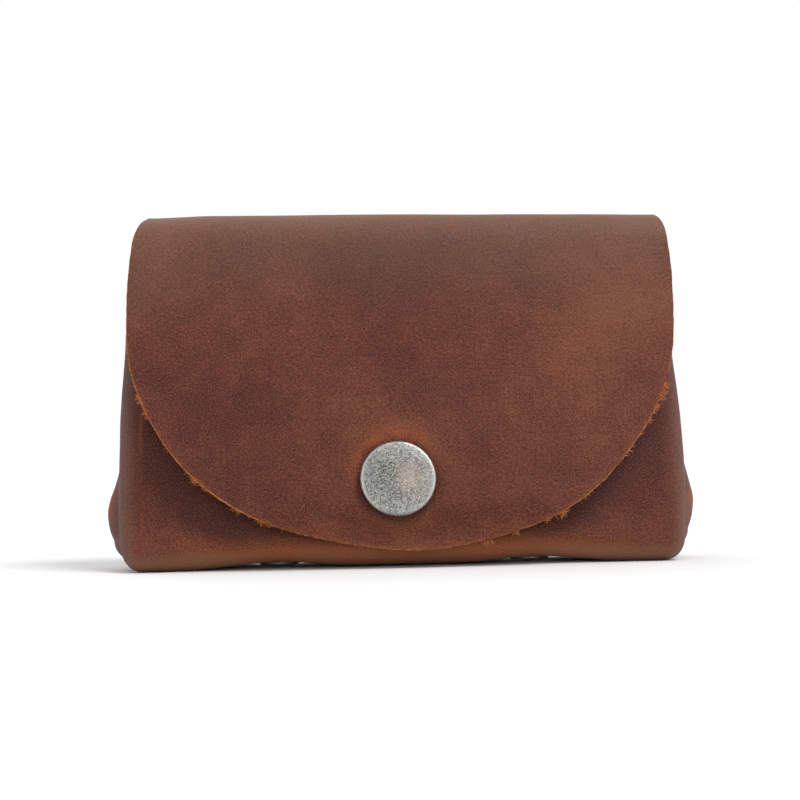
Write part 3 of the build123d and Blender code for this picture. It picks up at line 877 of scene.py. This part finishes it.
# bottom strip: from the lowest row back to the seam, for the columns of the front and the first part of the corner
jl = int(np.where((KC == 1) & (SIDE < 0) & (PC <= 0.56))[0].min())
jr = int(np.where((KC == 1) & (SIDE > 0) & (PC <= 0.56))[0].max())
low = PT[-1]
lowf = FT2[-1]
nb = 18
prev = gid[-1, jl:jr + 1]
seamx = np.interp(np.linspace(0, 1, NX), np.linspace(0, 1, NX), X1[0])
bottom_rows = []
cb = jr - jl + 1
for i in range(1, nb + 1):
    f = i / nb
    row = np.zeros((cb, 3))
    a0 = low[jl:jr + 1]
    # end points spread over the strip's width at the seam
    xe = np.interp(a0[:, 0], [a0[0, 0], a0[-1, 0]], [X1[0, 0], X1[0, -1]])
    row[:, 0] = a0[:, 0] + (xe - a0[:, 0]) * smooth(0, 0.8, f)
    row[:, 1] = a0[:, 1] + (S_BOT - a0[:, 1]) * f
    row[:, 2] = z_under(row[:, 0])
    bottom_rows.append(row)
    verts.append(row)
    fl = np.zeros((cb, 2))
    fl[:, 0] = row[:, 0]
    fl[:, 1] = lowf[jl:jr + 1, 1] - (row[:, 1] - a0[:, 1])
    flats.append(fl)
    ids = np.arange(count, count + cb)
    quads.append(np.stack([prev[:-1], ids[:-1], ids[1:], prev[1:]], -1))
    prev = ids
    count += cb
seam_row = set(prev.tolist())


def tab_patch(j0, j1, side):
    """The tab: from the wing's foot inwards over the bottom; its rows are added to the tray's lists."""
    global count
    a0 = low[j0:j1 + 1]
    lf = lowf[j0:j1 + 1]
    n = len(a0)
    rows = 34
    prev_ = gid[-1, j0:j1 + 1]
    yv = a0[:, 1]
    y_lo, y_hi = yv.min(), yv.max()
    # outline of the tab's inner end
    tip = 18.2
    for i in range(1, rows + 1):
        f = i / rows
        # how far in each line goes: a rounded end
        c = (yv - (y_lo + y_hi) / 2) / ((y_hi - y_lo) / 2)
        reach = tip + 6.0 * np.abs(c) ** 2.6
        x0 = np.abs(a0[:, 0])
        ax = x0 + (reach - x0) * f
        squeeze = 1 - 0.22 * smooth(0.15, 0.9, f)
        y = (y_lo + y_hi) / 2 + 0.2 + (yv - (y_lo + y_hi) / 2) * squeeze
        y = yv + (y - yv) * smooth(0, 0.35, f)
        z = z_under(ax) + T + 0.05 + 0.0 * ax
        r_ = np.stack([side * ax, y, z], -1)
        verts.append(r_)
        fl_ = np.zeros((n, 2))
        fl_[:, 0] = lf[:, 0]
        fl_[:, 1] = lf[:, 1] - (x0 - ax)
        flats.append(fl_)
        ids_ = np.arange(count, count + n)
        quads.append(np.stack([prev_[:-1], ids_[:-1], ids_[1:], prev_[1:]], -1))
        prev_ = ids_
        count += n


tab_patch(0, jl, -1)
tab_patch(jr, nc - 1, 1)
PTa, FTa, QT = np.concatenate(verts), np.concatenate(flats), np.concatenate(quads)
NT = vertex_normals(PTa, QT)
if NT[gid[20, nc // 2], 1] > 0:
    QT = QT[:, ::-1]
    NT = vertex_normals(PTa, QT)
# unevenness and local shape, on the wall only
x, z = PTa[:, 0], PTa[:, 2]
isw = np.zeros(len(PTa))
isw[:nr * nc] = 1
fx, fs = FTa[:, 0], FTa[:, 1]
amp = isw * smooth(2.0, 9.0, z)
d = amp * (0.15 * fbm(fx, fs, 24.0, 141) + 0.05 * fbm(fx, fs, 6.0, 144))
# the snap pulls the front panel in a little round its stud
rs = np.hypot(x - SNAP_X, z - SNAP_Z)
front_mask = isw * (np.abs(fx) < 50)
d = d - front_mask * 0.35 * np.exp(-(rs / 7.5) ** 4)
# a straight crease line beside the left fold, and a fainter one at the right
cr = np.exp(-((fx + 53.3 + 0.2 * np.sin(fs * 0.11)) / 0.20) ** 2) * isw * smooth(6, 10, z) * smooth(36, 28, z)
d = d - 0.10 * cr
PTa = PTa + NT * d[:, None]
NT = vertex_normals(PTa, QT)
# base tone of the pouch, darker than the flap's: partly its own colour, partly painted shade under the flap
toneT = 0.27 + 0.09 * fbm(fx, fs, 20.0, 105) + 0.06 * fbm(fx, fs, 7.0, 108) + 0.03 * fbm(fx, fs, 2.6, 112)
TRAY_PATCHES = [(-50, 12, 6, 9, 0.10), (-44, 6, 10, 5, 0.06), (-54, 30, 3, 14, 0.06), (-36, 12, 12, 8, -0.04),
                (-48, 26, 6, 9, -0.04), (46, 8, 10, 6, 0.02), (38, 8, 12, 4, 0.08), (50, 24, 6, 10, -0.02),
                (54, 20, 3, 16, 0.05), (44, 16, 8, 6, -0.03), (24, 5, 14, 4, 0.03)]
toneT = toneT + isw * blobs(fx, np.where(isw > 0, z, -99), TRAY_PATCHES)
# painted bounce light: the lower bend of the front made paler and more orange, as if lit from the floor
lower = np.exp(-((z - 1.4) / 2.0) ** 2)
# painted light: the shaded foot of the front below the flap's tip, made lighter
foot = isw * smooth(10.5, 5.0, z) * (np.abs(fx) < 56) * (1 - 0.85 * smooth(22, 38, np.abs(fx)))
# painted shadow: the front panel darkened under the flap's outline, fading out round its edge
ex_, ez_ = edge[:, 0], 54.9 - (edge[:, 1] - s_T) * CL
wall_pts = np.where(isw > 0)[0]
dout = np.full(len(PTa), 99.0)
inside = np.zeros(len(PTa), bool)
order = np.argsort(ex_)
zlim = np.interp(fx, ex_[order], ez_[order])
for i in range(0, len(wall_pts), 2000):
    w_ = wall_pts[i:i + 2000]
    dout[w_] = np.min(np.hypot(fx[w_][:, None] - ex_[None, ::12], (z[w_] + 0.3)[:, None] - ez_[None, ::12]), axis=1)
inside = (np.abs(fx) < 56) & (z > zlim)
dark = isw * np.where(inside, 1.0, np.exp(-(dout / 5.0) ** 1.6)) * (np.abs(fx) < 60) * smooth(2.5, 7.0, z)
midx = np.exp(-(np.abs(fx) / 44.0) ** 8)
toneT = toneT + isw * (0.62 + 0.75 * midx) * lower                       # painted bounce light: the lower bend made paler
# painted highlight: the soft side folds made paler
side_fold_highlight = np.exp(-((np.abs(fx) - (A_FLAT + RF * 0.8)) / 2.6) ** 2) * isw
toneT = toneT + 0.24 * side_fold_highlight
# the side bows: partly pull-up orange, partly painted sheen and highlight, stronger on the right
bow_ = isw * smooth(62, 66, np.abs(fx)) * np.exp(-((z - 11) / 7.0) ** 2)
warmT = 0.50 * bow_ * smooth(-0.5, 0.5, fbm(fx, fs, 3.0, 131)) + 0.10 * isw * lower
toneT = toneT + 0.12 * bow_
warmT = warmT + np.where(fx < 0, 0.55, 0.16) * cr * (0.75 + 0.5 * fbm(fx, fs, 2.0, 133))
warmT = warmT + isw * 0.30 * np.exp(-((rs - 6.6) / 1.2) ** 2) * (np.abs(fx) < 40)
# painted shadow under the flap, and painted light lifting the shaded foot of the front
toneT = toneT - 0.62 * dark + 0.50 * foot * (1 - 0.35 * dark)
# painted bounce light: orange on the lower front band
warmT = warmT + isw * 0.44 * midx * np.exp(-((z - 2.5) / 3.2) ** 2)
# painted light: orange lifting the foot of the front
warmT = warmT + foot * 0.22 * (0.7 + 0.6 * fbm(fx, fs, 6.0, 151))
toneT = np.clip(toneT, 0.0, 1.3)
warmT = np.clip(warmT, 0, 0.9)
# painted sheen on the side folds, the lower bend and the side bows, stronger on the right
tray_piece = make_leather("leather_tray", PTa, FTa, QT, NT, toneT, warmT, T, seam=seam_row, edge_noise=0.10,
                          painted_sheen=np.clip(isw * (0.30 * side_fold_highlight + (0.45 + 0.45 * midx) * lower) + bow_ * np.where(fx > 0, 0.45, 0.30), 0, 0.8))


# ---------------------------------------------------------------------------
# snap, rivets: turned shapes
# ---------------------------------------------------------------------------
def lathe(name, profile_pts, origin, axis, mat, seg=96, tone_fn=None, warm_fn=None, up=(0, 0, 1)):
    """Turned solid: profile (radius, height) in mm from one end on the axis to the other."""
    ax = Vector(axis).normalized()
    u = Vector((1, 0, 0))
    if abs(u.dot(ax)) > 0.9:
        u = Vector((0, 1, 0))
    u = (u - ax * u.dot(ax)).normalized()
    v = ax.cross(u)
    o = Vector(origin)
    V, F, fl, tn, wm = [], [], [], [], []
    rows = []
    for r, h in profile_pts:
        if r < 1e-6:
            V.append(o + ax * h)
            fl.append((0, 0, 0))
            tn.append(tone_fn(0, h, 0) if tone_fn else 0)
            wm.append(warm_fn(0, 0) if warm_fn else 0)
            rows.append([len(V) - 1])
        else:
            row = []
            for k in range(seg):
                a = 2 * math.pi * k / seg
                px, py = r * math.cos(a), r * math.sin(a)
                V.append(o + u * px + v * py + ax * h)
                # height goes into the pattern, so that walls are patterned as well
                fl.append((px, py, h * 1.7))
                tn.append(tone_fn(r, h, a) if tone_fn else 0)
                wm.append(warm_fn(px, py) if warm_fn else 0)
                row.append(len(V) - 1)
            rows.append(row)
    for a, b in zip(rows[:-1], rows[1:]):
        if len(a) == 1 and len(b) == 1:
            continue
        if len(a) == 1:
            F += [(a[0], b[k], b[(k + 1) % seg]) for k in range(seg)]
        elif len(b) == 1:
            F += [(a[k], b[0], a[(k + 1) % seg]) for k in range(seg)]
        else:
            F += [(a[k], b[k], b[(k + 1) % seg], a[(k + 1) % seg]) for k in range(seg)]
    me = bpy.data.meshes.new(name)
    me.from_pydata([tuple(p * MM) for p in V], [], F)
    at = me.attributes.new("flat", "FLOAT_VECTOR", "POINT")
    at.data.foreach_set("vector", (np.array(fl, float) * MM).astype(np.float32).ravel())
    at = me.attributes.new("tone", "FLOAT", "POINT")
    at.data.foreach_set("value", np.array(tn, np.float32))
    at = me.attributes.new("warm", "FLOAT", "POINT")
    at.data.foreach_set("value", np.array(wm, np.float32))
    me.materials.append(mat)
    me.validate()
    import bmesh
    bm = bmesh.new()
    bm.from_mesh(me)
    bmesh.ops.recalc_face_normals(bm, faces=bm.faces)
    bm.to_mesh(me)
    bm.free()
    me.polygons.foreach_set("use_smooth", np.ones(len(me.polygons), bool))
    ob = bpy.data.objects.new(name, me)
    bpy.context.collection.objects.link(ob)
    return ob


def rounded(pts, n=4, share=0.35):
    """Rounds the corners of a profile with short curves."""
    out = [pts[0]]
    for a, b, c in zip(pts[:-2], pts[1:-1], pts[2:]):
        a, b, c = np.array(a, float), np.array(b, float), np.array(c, float)
        p, q = b + (a - b) * share, b + (c - b) * share
        for k in range(n + 1):
            t_ = k / n
            out.append(tuple((1 - t_) ** 2 * p + 2 * t_ * (1 - t_) * b + t_ * t_ * q))
    out.append(pts[-1])
    return out


n_flap = Vector((0, -CL, SL))
snap_o = Vector((SNAP_X, y_flap(SNAP_Z), SNAP_Z))
capr = 7.5


def cap_profile():
    p = [(0, 2.02)]
    for r in np.linspace(0.5, 6.75, 26):
        p.append((float(r), 2.02 - 0.36 * (r / 6.9) ** 3.2))
    # shoulder, then the rolled rim
    for a in np.linspace(66, -80, 15):
        p.append((6.98 + 0.57 * math.cos(math.radians(a)), 0.90 + 0.82 * math.sin(math.radians(a))))
    p += [(6.5, -0.12), (5.0, -0.12), (1.7, -0.12), (1.7, -T - 0.5), (2.3, -T - 0.62), (2.1, -T - 0.9), (0, -T - 1.0)]
    return p


# painted highlight: bright lines on the rim, lightest at the left and right, and the face lightened towards its edge
def cap_rim_highlight(r, h, a):
    return 0.62 * float(smooth(6.9, 7.3, r) * smooth(0.2, 0.7, h)) * (0.55 + 0.45 * math.cos(2 * a)) + 0.10 * float(smooth(3.0, 7.2, r))


def cap_warm(px, py):
    return math.exp(-((px - 2.2) / 2.6) ** 2 - ((py + 0.2) / 3.2) ** 2) * 0.9


cap = lathe("snap_cap_face", cap_profile(), snap_o, n_flap, M_CAP, 128, cap_rim_highlight, cap_warm)
wf = -T
socket = lathe("snap_socket_body", rounded([(1.6, wf - 0.02), (6.0, wf - 0.02), (6.0, wf - 0.32), (5.3, wf - 0.6),
                                    (5.05, wf - 2.0), (4.6, wf - 2.35), (3.5, wf - 2.35), (3.35, wf - 1.95),
                                    (3.95, wf - 1.85), (3.95, wf - 1.25), (3.35, wf - 1.2), (3.3, wf - 0.6),
                                    (1.6, wf - 0.55)]), snap_o, n_flap, M_NICKEL, 96)
wo, wi = -FLAP_OFF, -FLAP_OFF - T
stud = lathe("snap_stud_body", rounded([(0.0, wo - 0.02), (5.4, wo - 0.02), (5.4, wo + 0.28), (4.2, wo + 0.55), (2.2, wo + 0.62),
                                (1.95, wo + 1.0), (2.42, wo + 1.45), (2.42, wo + 1.8), (2.0, wo + 2.12),
                                (1.2, wo + 2.1), (0.9, wo + 1.7), (0, wo + 1.65)]), snap_o, n_flap, M_NICKEL, 96)
post = lathe("snap_post_cap", rounded([(0, wi - 0.95), (2.6, wi - 0.92), (4.4, wi - 0.68), (5.2, wi - 0.18), (5.1, wi + 0.02),
                               (0, wi + 0.02)]), snap_o, n_flap, M_NICKEL, 96)


def spring_ring(name, R, r, gap_deg, origin, axis, h, mat):
    ax = Vector(axis).normalized()
    u = Vector((1, 0, 0))
    v = ax.cross(u)
    o = Vector(origin) + ax * h
    cu = bpy.data.curves.new(name + "_path", "CURVE")
    cu.dimensions = "3D"
    sp = cu.splines.new("POLY")
    n = 73
    sp.points.add(n - 1)
    for k in range(n):
        a = math.radians(gap_deg / 2 + (360 - gap_deg) * k / (n - 1))
        p = (o + (u * math.cos(a) + v * math.sin(a)) * R) * MM
        sp.points[k].co = (*p, 1)
    cu.bevel_depth = r * MM
    cu.bevel_resolution = 4
    cu.use_fill_caps = True
    ob = bpy.data.objects.new(name + "_tmp", cu)
    bpy.context.collection.objects.link(ob)
    dg = bpy.context.evaluated_depsgraph_get()
    me = bpy.data.meshes.new_from_object(ob.evaluated_get(dg))
    bpy.data.objects.remove(ob)
    me.materials.clear()
    me.materials.append(mat)
    co = np.array([x_.co for x_ in me.vertices])
    at = me.attributes.new("flat", "FLOAT_VECTOR", "POINT")
    at.data.foreach_set("vector", co.astype(np.float32).ravel())
    at = me.attributes.new("tone", "FLOAT", "POINT")
    at = me.attributes.new("warm", "FLOAT", "POINT")
    me.polygons.foreach_set("use_smooth", np.ones(len(me.polygons), bool))
    o2 = bpy.data.objects.new(name, me)
    bpy.context.collection.objects.link(o2)
    return o2


spring = spring_ring("socket_spring_wire", 3.55, 0.27, 24, snap_o, n_flap, wf - 1.55, M_SPRING)

rivets = []
RX, RY = 26.2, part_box("left_rivet_post")[0][1] * 1000 + 4.15
for s, nm in ((-1, "left"), (1, "right")):
    zr = float(z_under(26.2))
    ro = Vector((s * RX, RY, 0))
    prof = [(0, zr - 1.30)]
    for r in np.linspace(0.6, 3.1, 8):
        prof.append((float(r), zr - 1.30 + 0.42 * (r / 3.3) ** 2.4))
    for a in np.linspace(-60, 75, 9):
        prof.append((3.72 + 0.42 * math.cos(math.radians(a)), zr - 0.50 + 0.52 * math.sin(math.radians(a))))
    prof += [(3.2, zr + 0.06), (0, zr + 0.06)]
    lo_ = lathe(f"{nm}_rivet_outer_cap", prof, ro, (0, 0, 1), M_NICKEL, 72)
    zt_ = zr + 2 * T + 0.05
    prof = [(0, zt_ + 1.05)]
    for r in np.linspace(0.6, 3.1, 8):
        prof.append((float(r), zt_ + 1.05 - 0.30 * (r / 3.3) ** 2.4))
    for a in np.linspace(60, -75, 9):
        prof.append((3.72 + 0.42 * math.cos(math.radians(a)), zt_ + 0.40 + 0.38 * math.sin(math.radians(a))))
    prof += [(3.2, zt_ - 0.05), (0, zt_ - 0.05)]
    hi_ = lathe(f"{nm}_rivet_inner_cap", prof, ro, (0, 0, 1), M_NICKEL, 72)
    rivets.append((nm, lo_, hi_))


# ---------------------------------------------------------------------------
# loose fibres along the flap's cut edge
# ---------------------------------------------------------------------------
def tuft_mesh(name, items, seed):
    """items: (edge position 0..1, count, length mm, spread).  Thin curled tapering fibres rooted in the edge."""
    rg = np.random.default_rng(seed)
    V, F, FLT = [], [], []
    for pos, width, cnt, ln, r0 in items:
        for _ in range(cnt):
            u = pos + rg.normal(0, width)
            u = min(max(u, 0.002), 0.998)
            j = u * ed[-1]
            x_, s_ = np.interp(j, ed, edge[:, 0]), np.interp(j, ed, edge[:, 1])
            x2, s2 = np.interp(j + 0.3, ed, edge[:, 0]), np.interp(j + 0.3, ed, edge[:, 1])
            tx, ts = (x2 - x_), (s2 - s_)
            l_ = math.hypot(tx, ts)
            tx, ts = tx / l_, ts / l_
            ox, os_ = -ts, tx                      # outward in the flat pattern
            mid_dir = np.array([x_ - 0.0, s_ - (s_T + 10)])
            if ox * mid_dir[0] + os_ * mid_dir[1] < 0:
                ox, os_ = -ox, -os_
            dep = rg.uniform(0.1, 0.95) * T
            base = strip_points(np.array([[x_]]), np.array([[s_]]))[0]
            nn_ = np.array([0, -CL, SL])
            e_x = np.array([1.0, 0, 0])
            e_s = np.array([0, -SL, -CL])
            o3 = e_x * ox + e_s * os_
            t3 = e_x * tx + e_s * ts
            p = base - nn_ * dep + o3 * 0.08
            L_ = 1.3 * ln * rg.uniform(0.45, 1.25)
            dirv = o3 * 1.0 + t3 * rg.normal(0, 0.75) + nn_ * rg.normal(0.05, 0.35)
            dirv /= np.linalg.norm(dirv)
            curl = np.cross(dirv, rg.normal(0, 1, 3))
            curl /= max(np.linalg.norm(curl), 1e-6)
            seg = 6
            kappa = rg.normal(0, 1.4)
            pts = [p]
            dcur = dirv.copy()
            for k in range(seg):
                dcur = dcur + curl * kappa / seg + rg.normal(0, 0.16, 3)
                dcur /= np.linalg.norm(dcur)
                pts.append(pts[-1] + dcur * L_ / seg)
            rad = 1.0 * r0 * rg.uniform(0.6, 1.3)
            b0 = len(V)
            ns = 4
            for k, q_ in enumerate(pts):
                a_ = np.cross(dcur, [0.3, 0.5, 0.8])
                a_ /= np.linalg.norm(a_)
                b_ = np.cross(dcur, a_)
                rk = rad * (1 - k / seg) ** 0.6 + 0.012
                for m_ in range(ns):
                    an = 2 * math.pi * m_ / ns
                    V.append(q_ + (a_ * math.cos(an) + b_ * math.sin(an)) * rk)
                    FLT.append((x_ + k * 0.3, s_ + m_ * 0.1 + u * 40))
            for k in range(seg):
                for m_ in range(ns):
                    i0 = b0 + k * ns + m_
                    i1 = b0 + k * ns + (m_ + 1) % ns
                    F.append((i0, i1, i1 + ns, i0 + ns))
            F.append(tuple(b0 + m_ for m_ in range(ns))[::-1])
            F.append(tuple(b0 + seg * ns + m_ for m_ in range(ns)))
    me = bpy.data.meshes.new(name)
    me.from_pydata((np.array(V) * MM).tolist(), [], F)
    at = me.attributes.new("flat", "FLOAT_VECTOR", "POINT")
    at.data.foreach_set("vector", (np.c_[np.array(FLT), np.zeros(len(FLT))] * MM).astype(np.float32).ravel())
    me.materials.append(M_FIBRE)
    me.polygons.foreach_set("use_smooth", np.ones(len(me.polygons), bool))
    ob = bpy.data.objects.new(name, me)
    bpy.context.collection.objects.link(ob)
    return ob


def edge_u(x, z):
    """Position along the flap's edge, 0..1, of the point nearest to (x, z) on its face."""
    s_ = s_T + (54.9 - z) / CL
    k = int(np.argmin(np.hypot(edge[:, 0] - x, edge[:, 1] - s_)))
    return ed[k] / ed[-1]


TUFTS = [  # x, z, spread, count, length, radius
    (-53.0, 34.8, 0.0040, 30, 0.95, 0.055), (-51.4, 31.2, 0.0045, 22, 0.80, 0.05), (-52.4, 33.2, 0.003, 8, 0.6, 0.04),
    (-42.2, 18.6, 0.0042, 30, 1.10, 0.055), (-40.6, 17.0, 0.004, 12, 0.7, 0.045), (-34.2, 12.7, 0.0035, 18, 0.8, 0.05),
    (-31.2, 11.0, 0.003, 10, 0.6, 0.045), (-28.3, 9.6, 0.006, 26, 0.75, 0.05), (-47.6, 24.8, 0.004, 5, 0.5, 0.04),
    (53.2, 36.3, 0.0030, 14, 1.3, 0.055), (52.4, 34.2, 0.0055, 44, 1.30, 0.06), (50.8, 31.2, 0.0050, 30, 0.95, 0.055),
    (49.4, 29.0, 0.0035, 20, 0.95, 0.05), (44.5, 22.4, 0.0035, 16, 0.80, 0.05), (43.0, 20.6, 0.003, 5, 0.5, 0.04),
    (35.5, 13.8, 0.004, 16, 0.7, 0.05), (30.8, 10.6, 0.0045, 34, 1.00, 0.055), (27.6, 9.1, 0.003, 12, 0.6, 0.045),
    (21.2, 6.8, 0.003, 16, 0.8, 0.05), (15.4, 5.2, 0.0030, 32, 1.10, 0.055), (8.0, 3.9, 0.004, 6, 0.45, 0.04),
    (-10.0, 4.5, 0.004, 6, 0.45, 0.04), (-4.0, 3.7, 0.004, 5, 0.4, 0.04),
    (-56.0, 49.0, 0.002, 3, 0.30, 0.045), (-56.0, 53.0, 0.003, 3, 0.30, 0.045),
    (-38.5, 15.5, 0.006, 6, 0.45, 0.04), (39.5, 17.0, 0.006, 8, 0.45, 0.04), (47.4, 26.2, 0.006, 14, 0.6, 0.045),
]
items = [(edge_u(a, b), w, c, l_, r_) for a, b, w, c, l_, r_ in TUFTS]
# very short fuzz all along
items += [(u_, 0.012, 4, 0.17, 0.032) for u_ in np.linspace(0.10, 0.90, 42)]
fuzz = tuft_mesh("flap_edge_fibres", items, 77)

# ---------------------------------------------------------------------------
# riding, replacing
# ---------------------------------------------------------------------------
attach(tray_piece, "tray")
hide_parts("front_panel", "bottom_panel", "left_side_panel", "right_side_panel", "left_tab", "right_tab")
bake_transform(back_low)
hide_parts("back_panel")
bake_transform(back_up)
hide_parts("top_fold")
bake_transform(flap_piece)
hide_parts("flap")
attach(fuzz, "flap_leaf")
for ob, nd, sl in ((cap, "snap_cap", "antique_nickel"), (socket, "snap_socket", "nickel"),
                   (spring, "socket_spring", "spring_steel")):
    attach(ob, "flap_leaf")
    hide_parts(nd)
for ob, nd in ((stud, "snap_stud"), (post, "snap_post")):
    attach(ob, "tray")
    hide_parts(nd)
for nm, lo_, hi_ in rivets:
    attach(lo_, "tray")
    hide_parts(f"{nm}_rivet_post")
    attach(hi_, "tray")
    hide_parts(f"{nm}_rivet_cap")



def flat_area(P, quads):
    """Area of a quad grid in square metres, with P in mm, on the middle of the leather's thickness."""
    p = P[quads]
    return float(np.linalg.norm(np.cross(p[:, 2] - p[:, 0], p[:, 3] - p[:, 1]), axis=1).sum() / 2) * 1e-6


def declare(piece, P, N, q, w, l_):
    """Prints one part of the purse's leather: its flat size and its area on the middle of the thickness."""
    a_ = flat_area(P - N * (T / 2), q)
    w, l_ = w * MM, l_ * MM
    a_ = min(max(a_, 0.301 * w * l_), 1.0 * w * l_)
    print("sheet", piece.name, "flat", round(w * 1000, 1), round(l_ * 1000, 1), "area cm2", round(a_ * 1e4, 1))


declare(tray_piece, PTa, NT, QT, 150.4, 63.0)
declare(back_low, PF, NF, rows_quads(0, i_B), 112.4, float(rows_s[i_B]))
declare(back_up, PF, NF, rows_quads(i_B, i_C), 112.4, float(rows_s[i_C] - rows_s[i_B]))
declare(flap_piece, PF, NF, rows_quads(i_C, NR - 1), 112.6, float(SF.max() - rows_s[i_C]))

# ---------------------------------------------------------------------------
# floor, light, camera
# ---------------------------------------------------------------------------
me = bpy.data.meshes.new("floor")
R_ = 40.0
me.from_pydata([(-R_, -R_, -0.00002), (R_, -R_, -0.00002), (R_, R_, -0.00002), (-R_, R_, -0.00002)], [], [(0, 1, 2, 3)])
m, nt, b = new_mat("floor_paper")
fn = noise_node(nt, node(nt, "ShaderNodeTexCoord").outputs["Object"], 40.0, 2.0)
nt.links.new(mix_col(nt, fn, (0.675, 0.675, 0.675), (0.695, 0.695, 0.695)), b.inputs["Base Color"])
b.inputs["Roughness"].default_value = 0.95
b.inputs["Specular IOR Level"].default_value = 0.0
me.materials.append(m)
floor = bpy.data.objects.new("floor", me)
bpy.context.collection.objects.link(floor)

w = bpy.data.worlds.new("studio")
bpy.context.scene.world = w
w.use_nodes = True
w.node_tree.nodes["Background"].inputs[0].default_value = (1, 1, 1, 1)
w.node_tree.nodes["Background"].inputs[1].default_value = 1.0


def sun(name, frm, angle, strength):
    l_ = bpy.data.lights.new(name, "SUN")
    l_.energy = strength
    l_.angle = math.radians(angle)
    o = bpy.data.objects.new(name, l_)
    o.location = frm
    o.rotation_euler = Vector(frm).to_track_quat("Z", "Y").to_euler()
    bpy.context.collection.objects.link(o)
    return o


sun("key", (0.50, -0.46, 1.0), 22, 2.02)
sun("fill", (0.05, -1.0, 0.14), 30, 0.55)
sun("rim", (-0.5, 0.55, 0.9), 40, 0.35)

az, pitch, roll = 0.0641, 0.0591, -0.0192
D_, zc_, xc_, f_px = 0.260, 0.01816, -0.00117, 1292.0
fw = Vector((math.sin(az) * math.cos(pitch), math.cos(az) * math.cos(pitch), math.sin(pitch)))
rt = Vector((math.cos(az), -math.sin(az), 0))
up = rt.cross(fw)
pos = Vector((xc_, -0.012 + 0.0031071, zc_)) - Vector((math.sin(az), math.cos(az), 0)) * D_
c_, s_ = math.cos(roll), math.sin(roll)
right = rt * c_ + up * s_
upv = rt * -s_ + up * c_
cam = bpy.data.cameras.new("camera")
cam.sensor_width = 36.0
cam.lens = 36.0 * f_px / 800.0
cam.clip_start = 0.01
cam_o = bpy.data.objects.new("camera", cam)
cam_o.matrix_world = Matrix(((right.x, upv.x, -fw.x, pos.x), (right.y, upv.y, -fw.y, pos.y),
                             (right.z, upv.z, -fw.z, pos.z), (0, 0, 0, 1)))
bpy.context.collection.objects.link(cam_o)
bpy.context.scene.camera = cam_o
bpy.context.scene.view_settings.view_transform = "Standard"
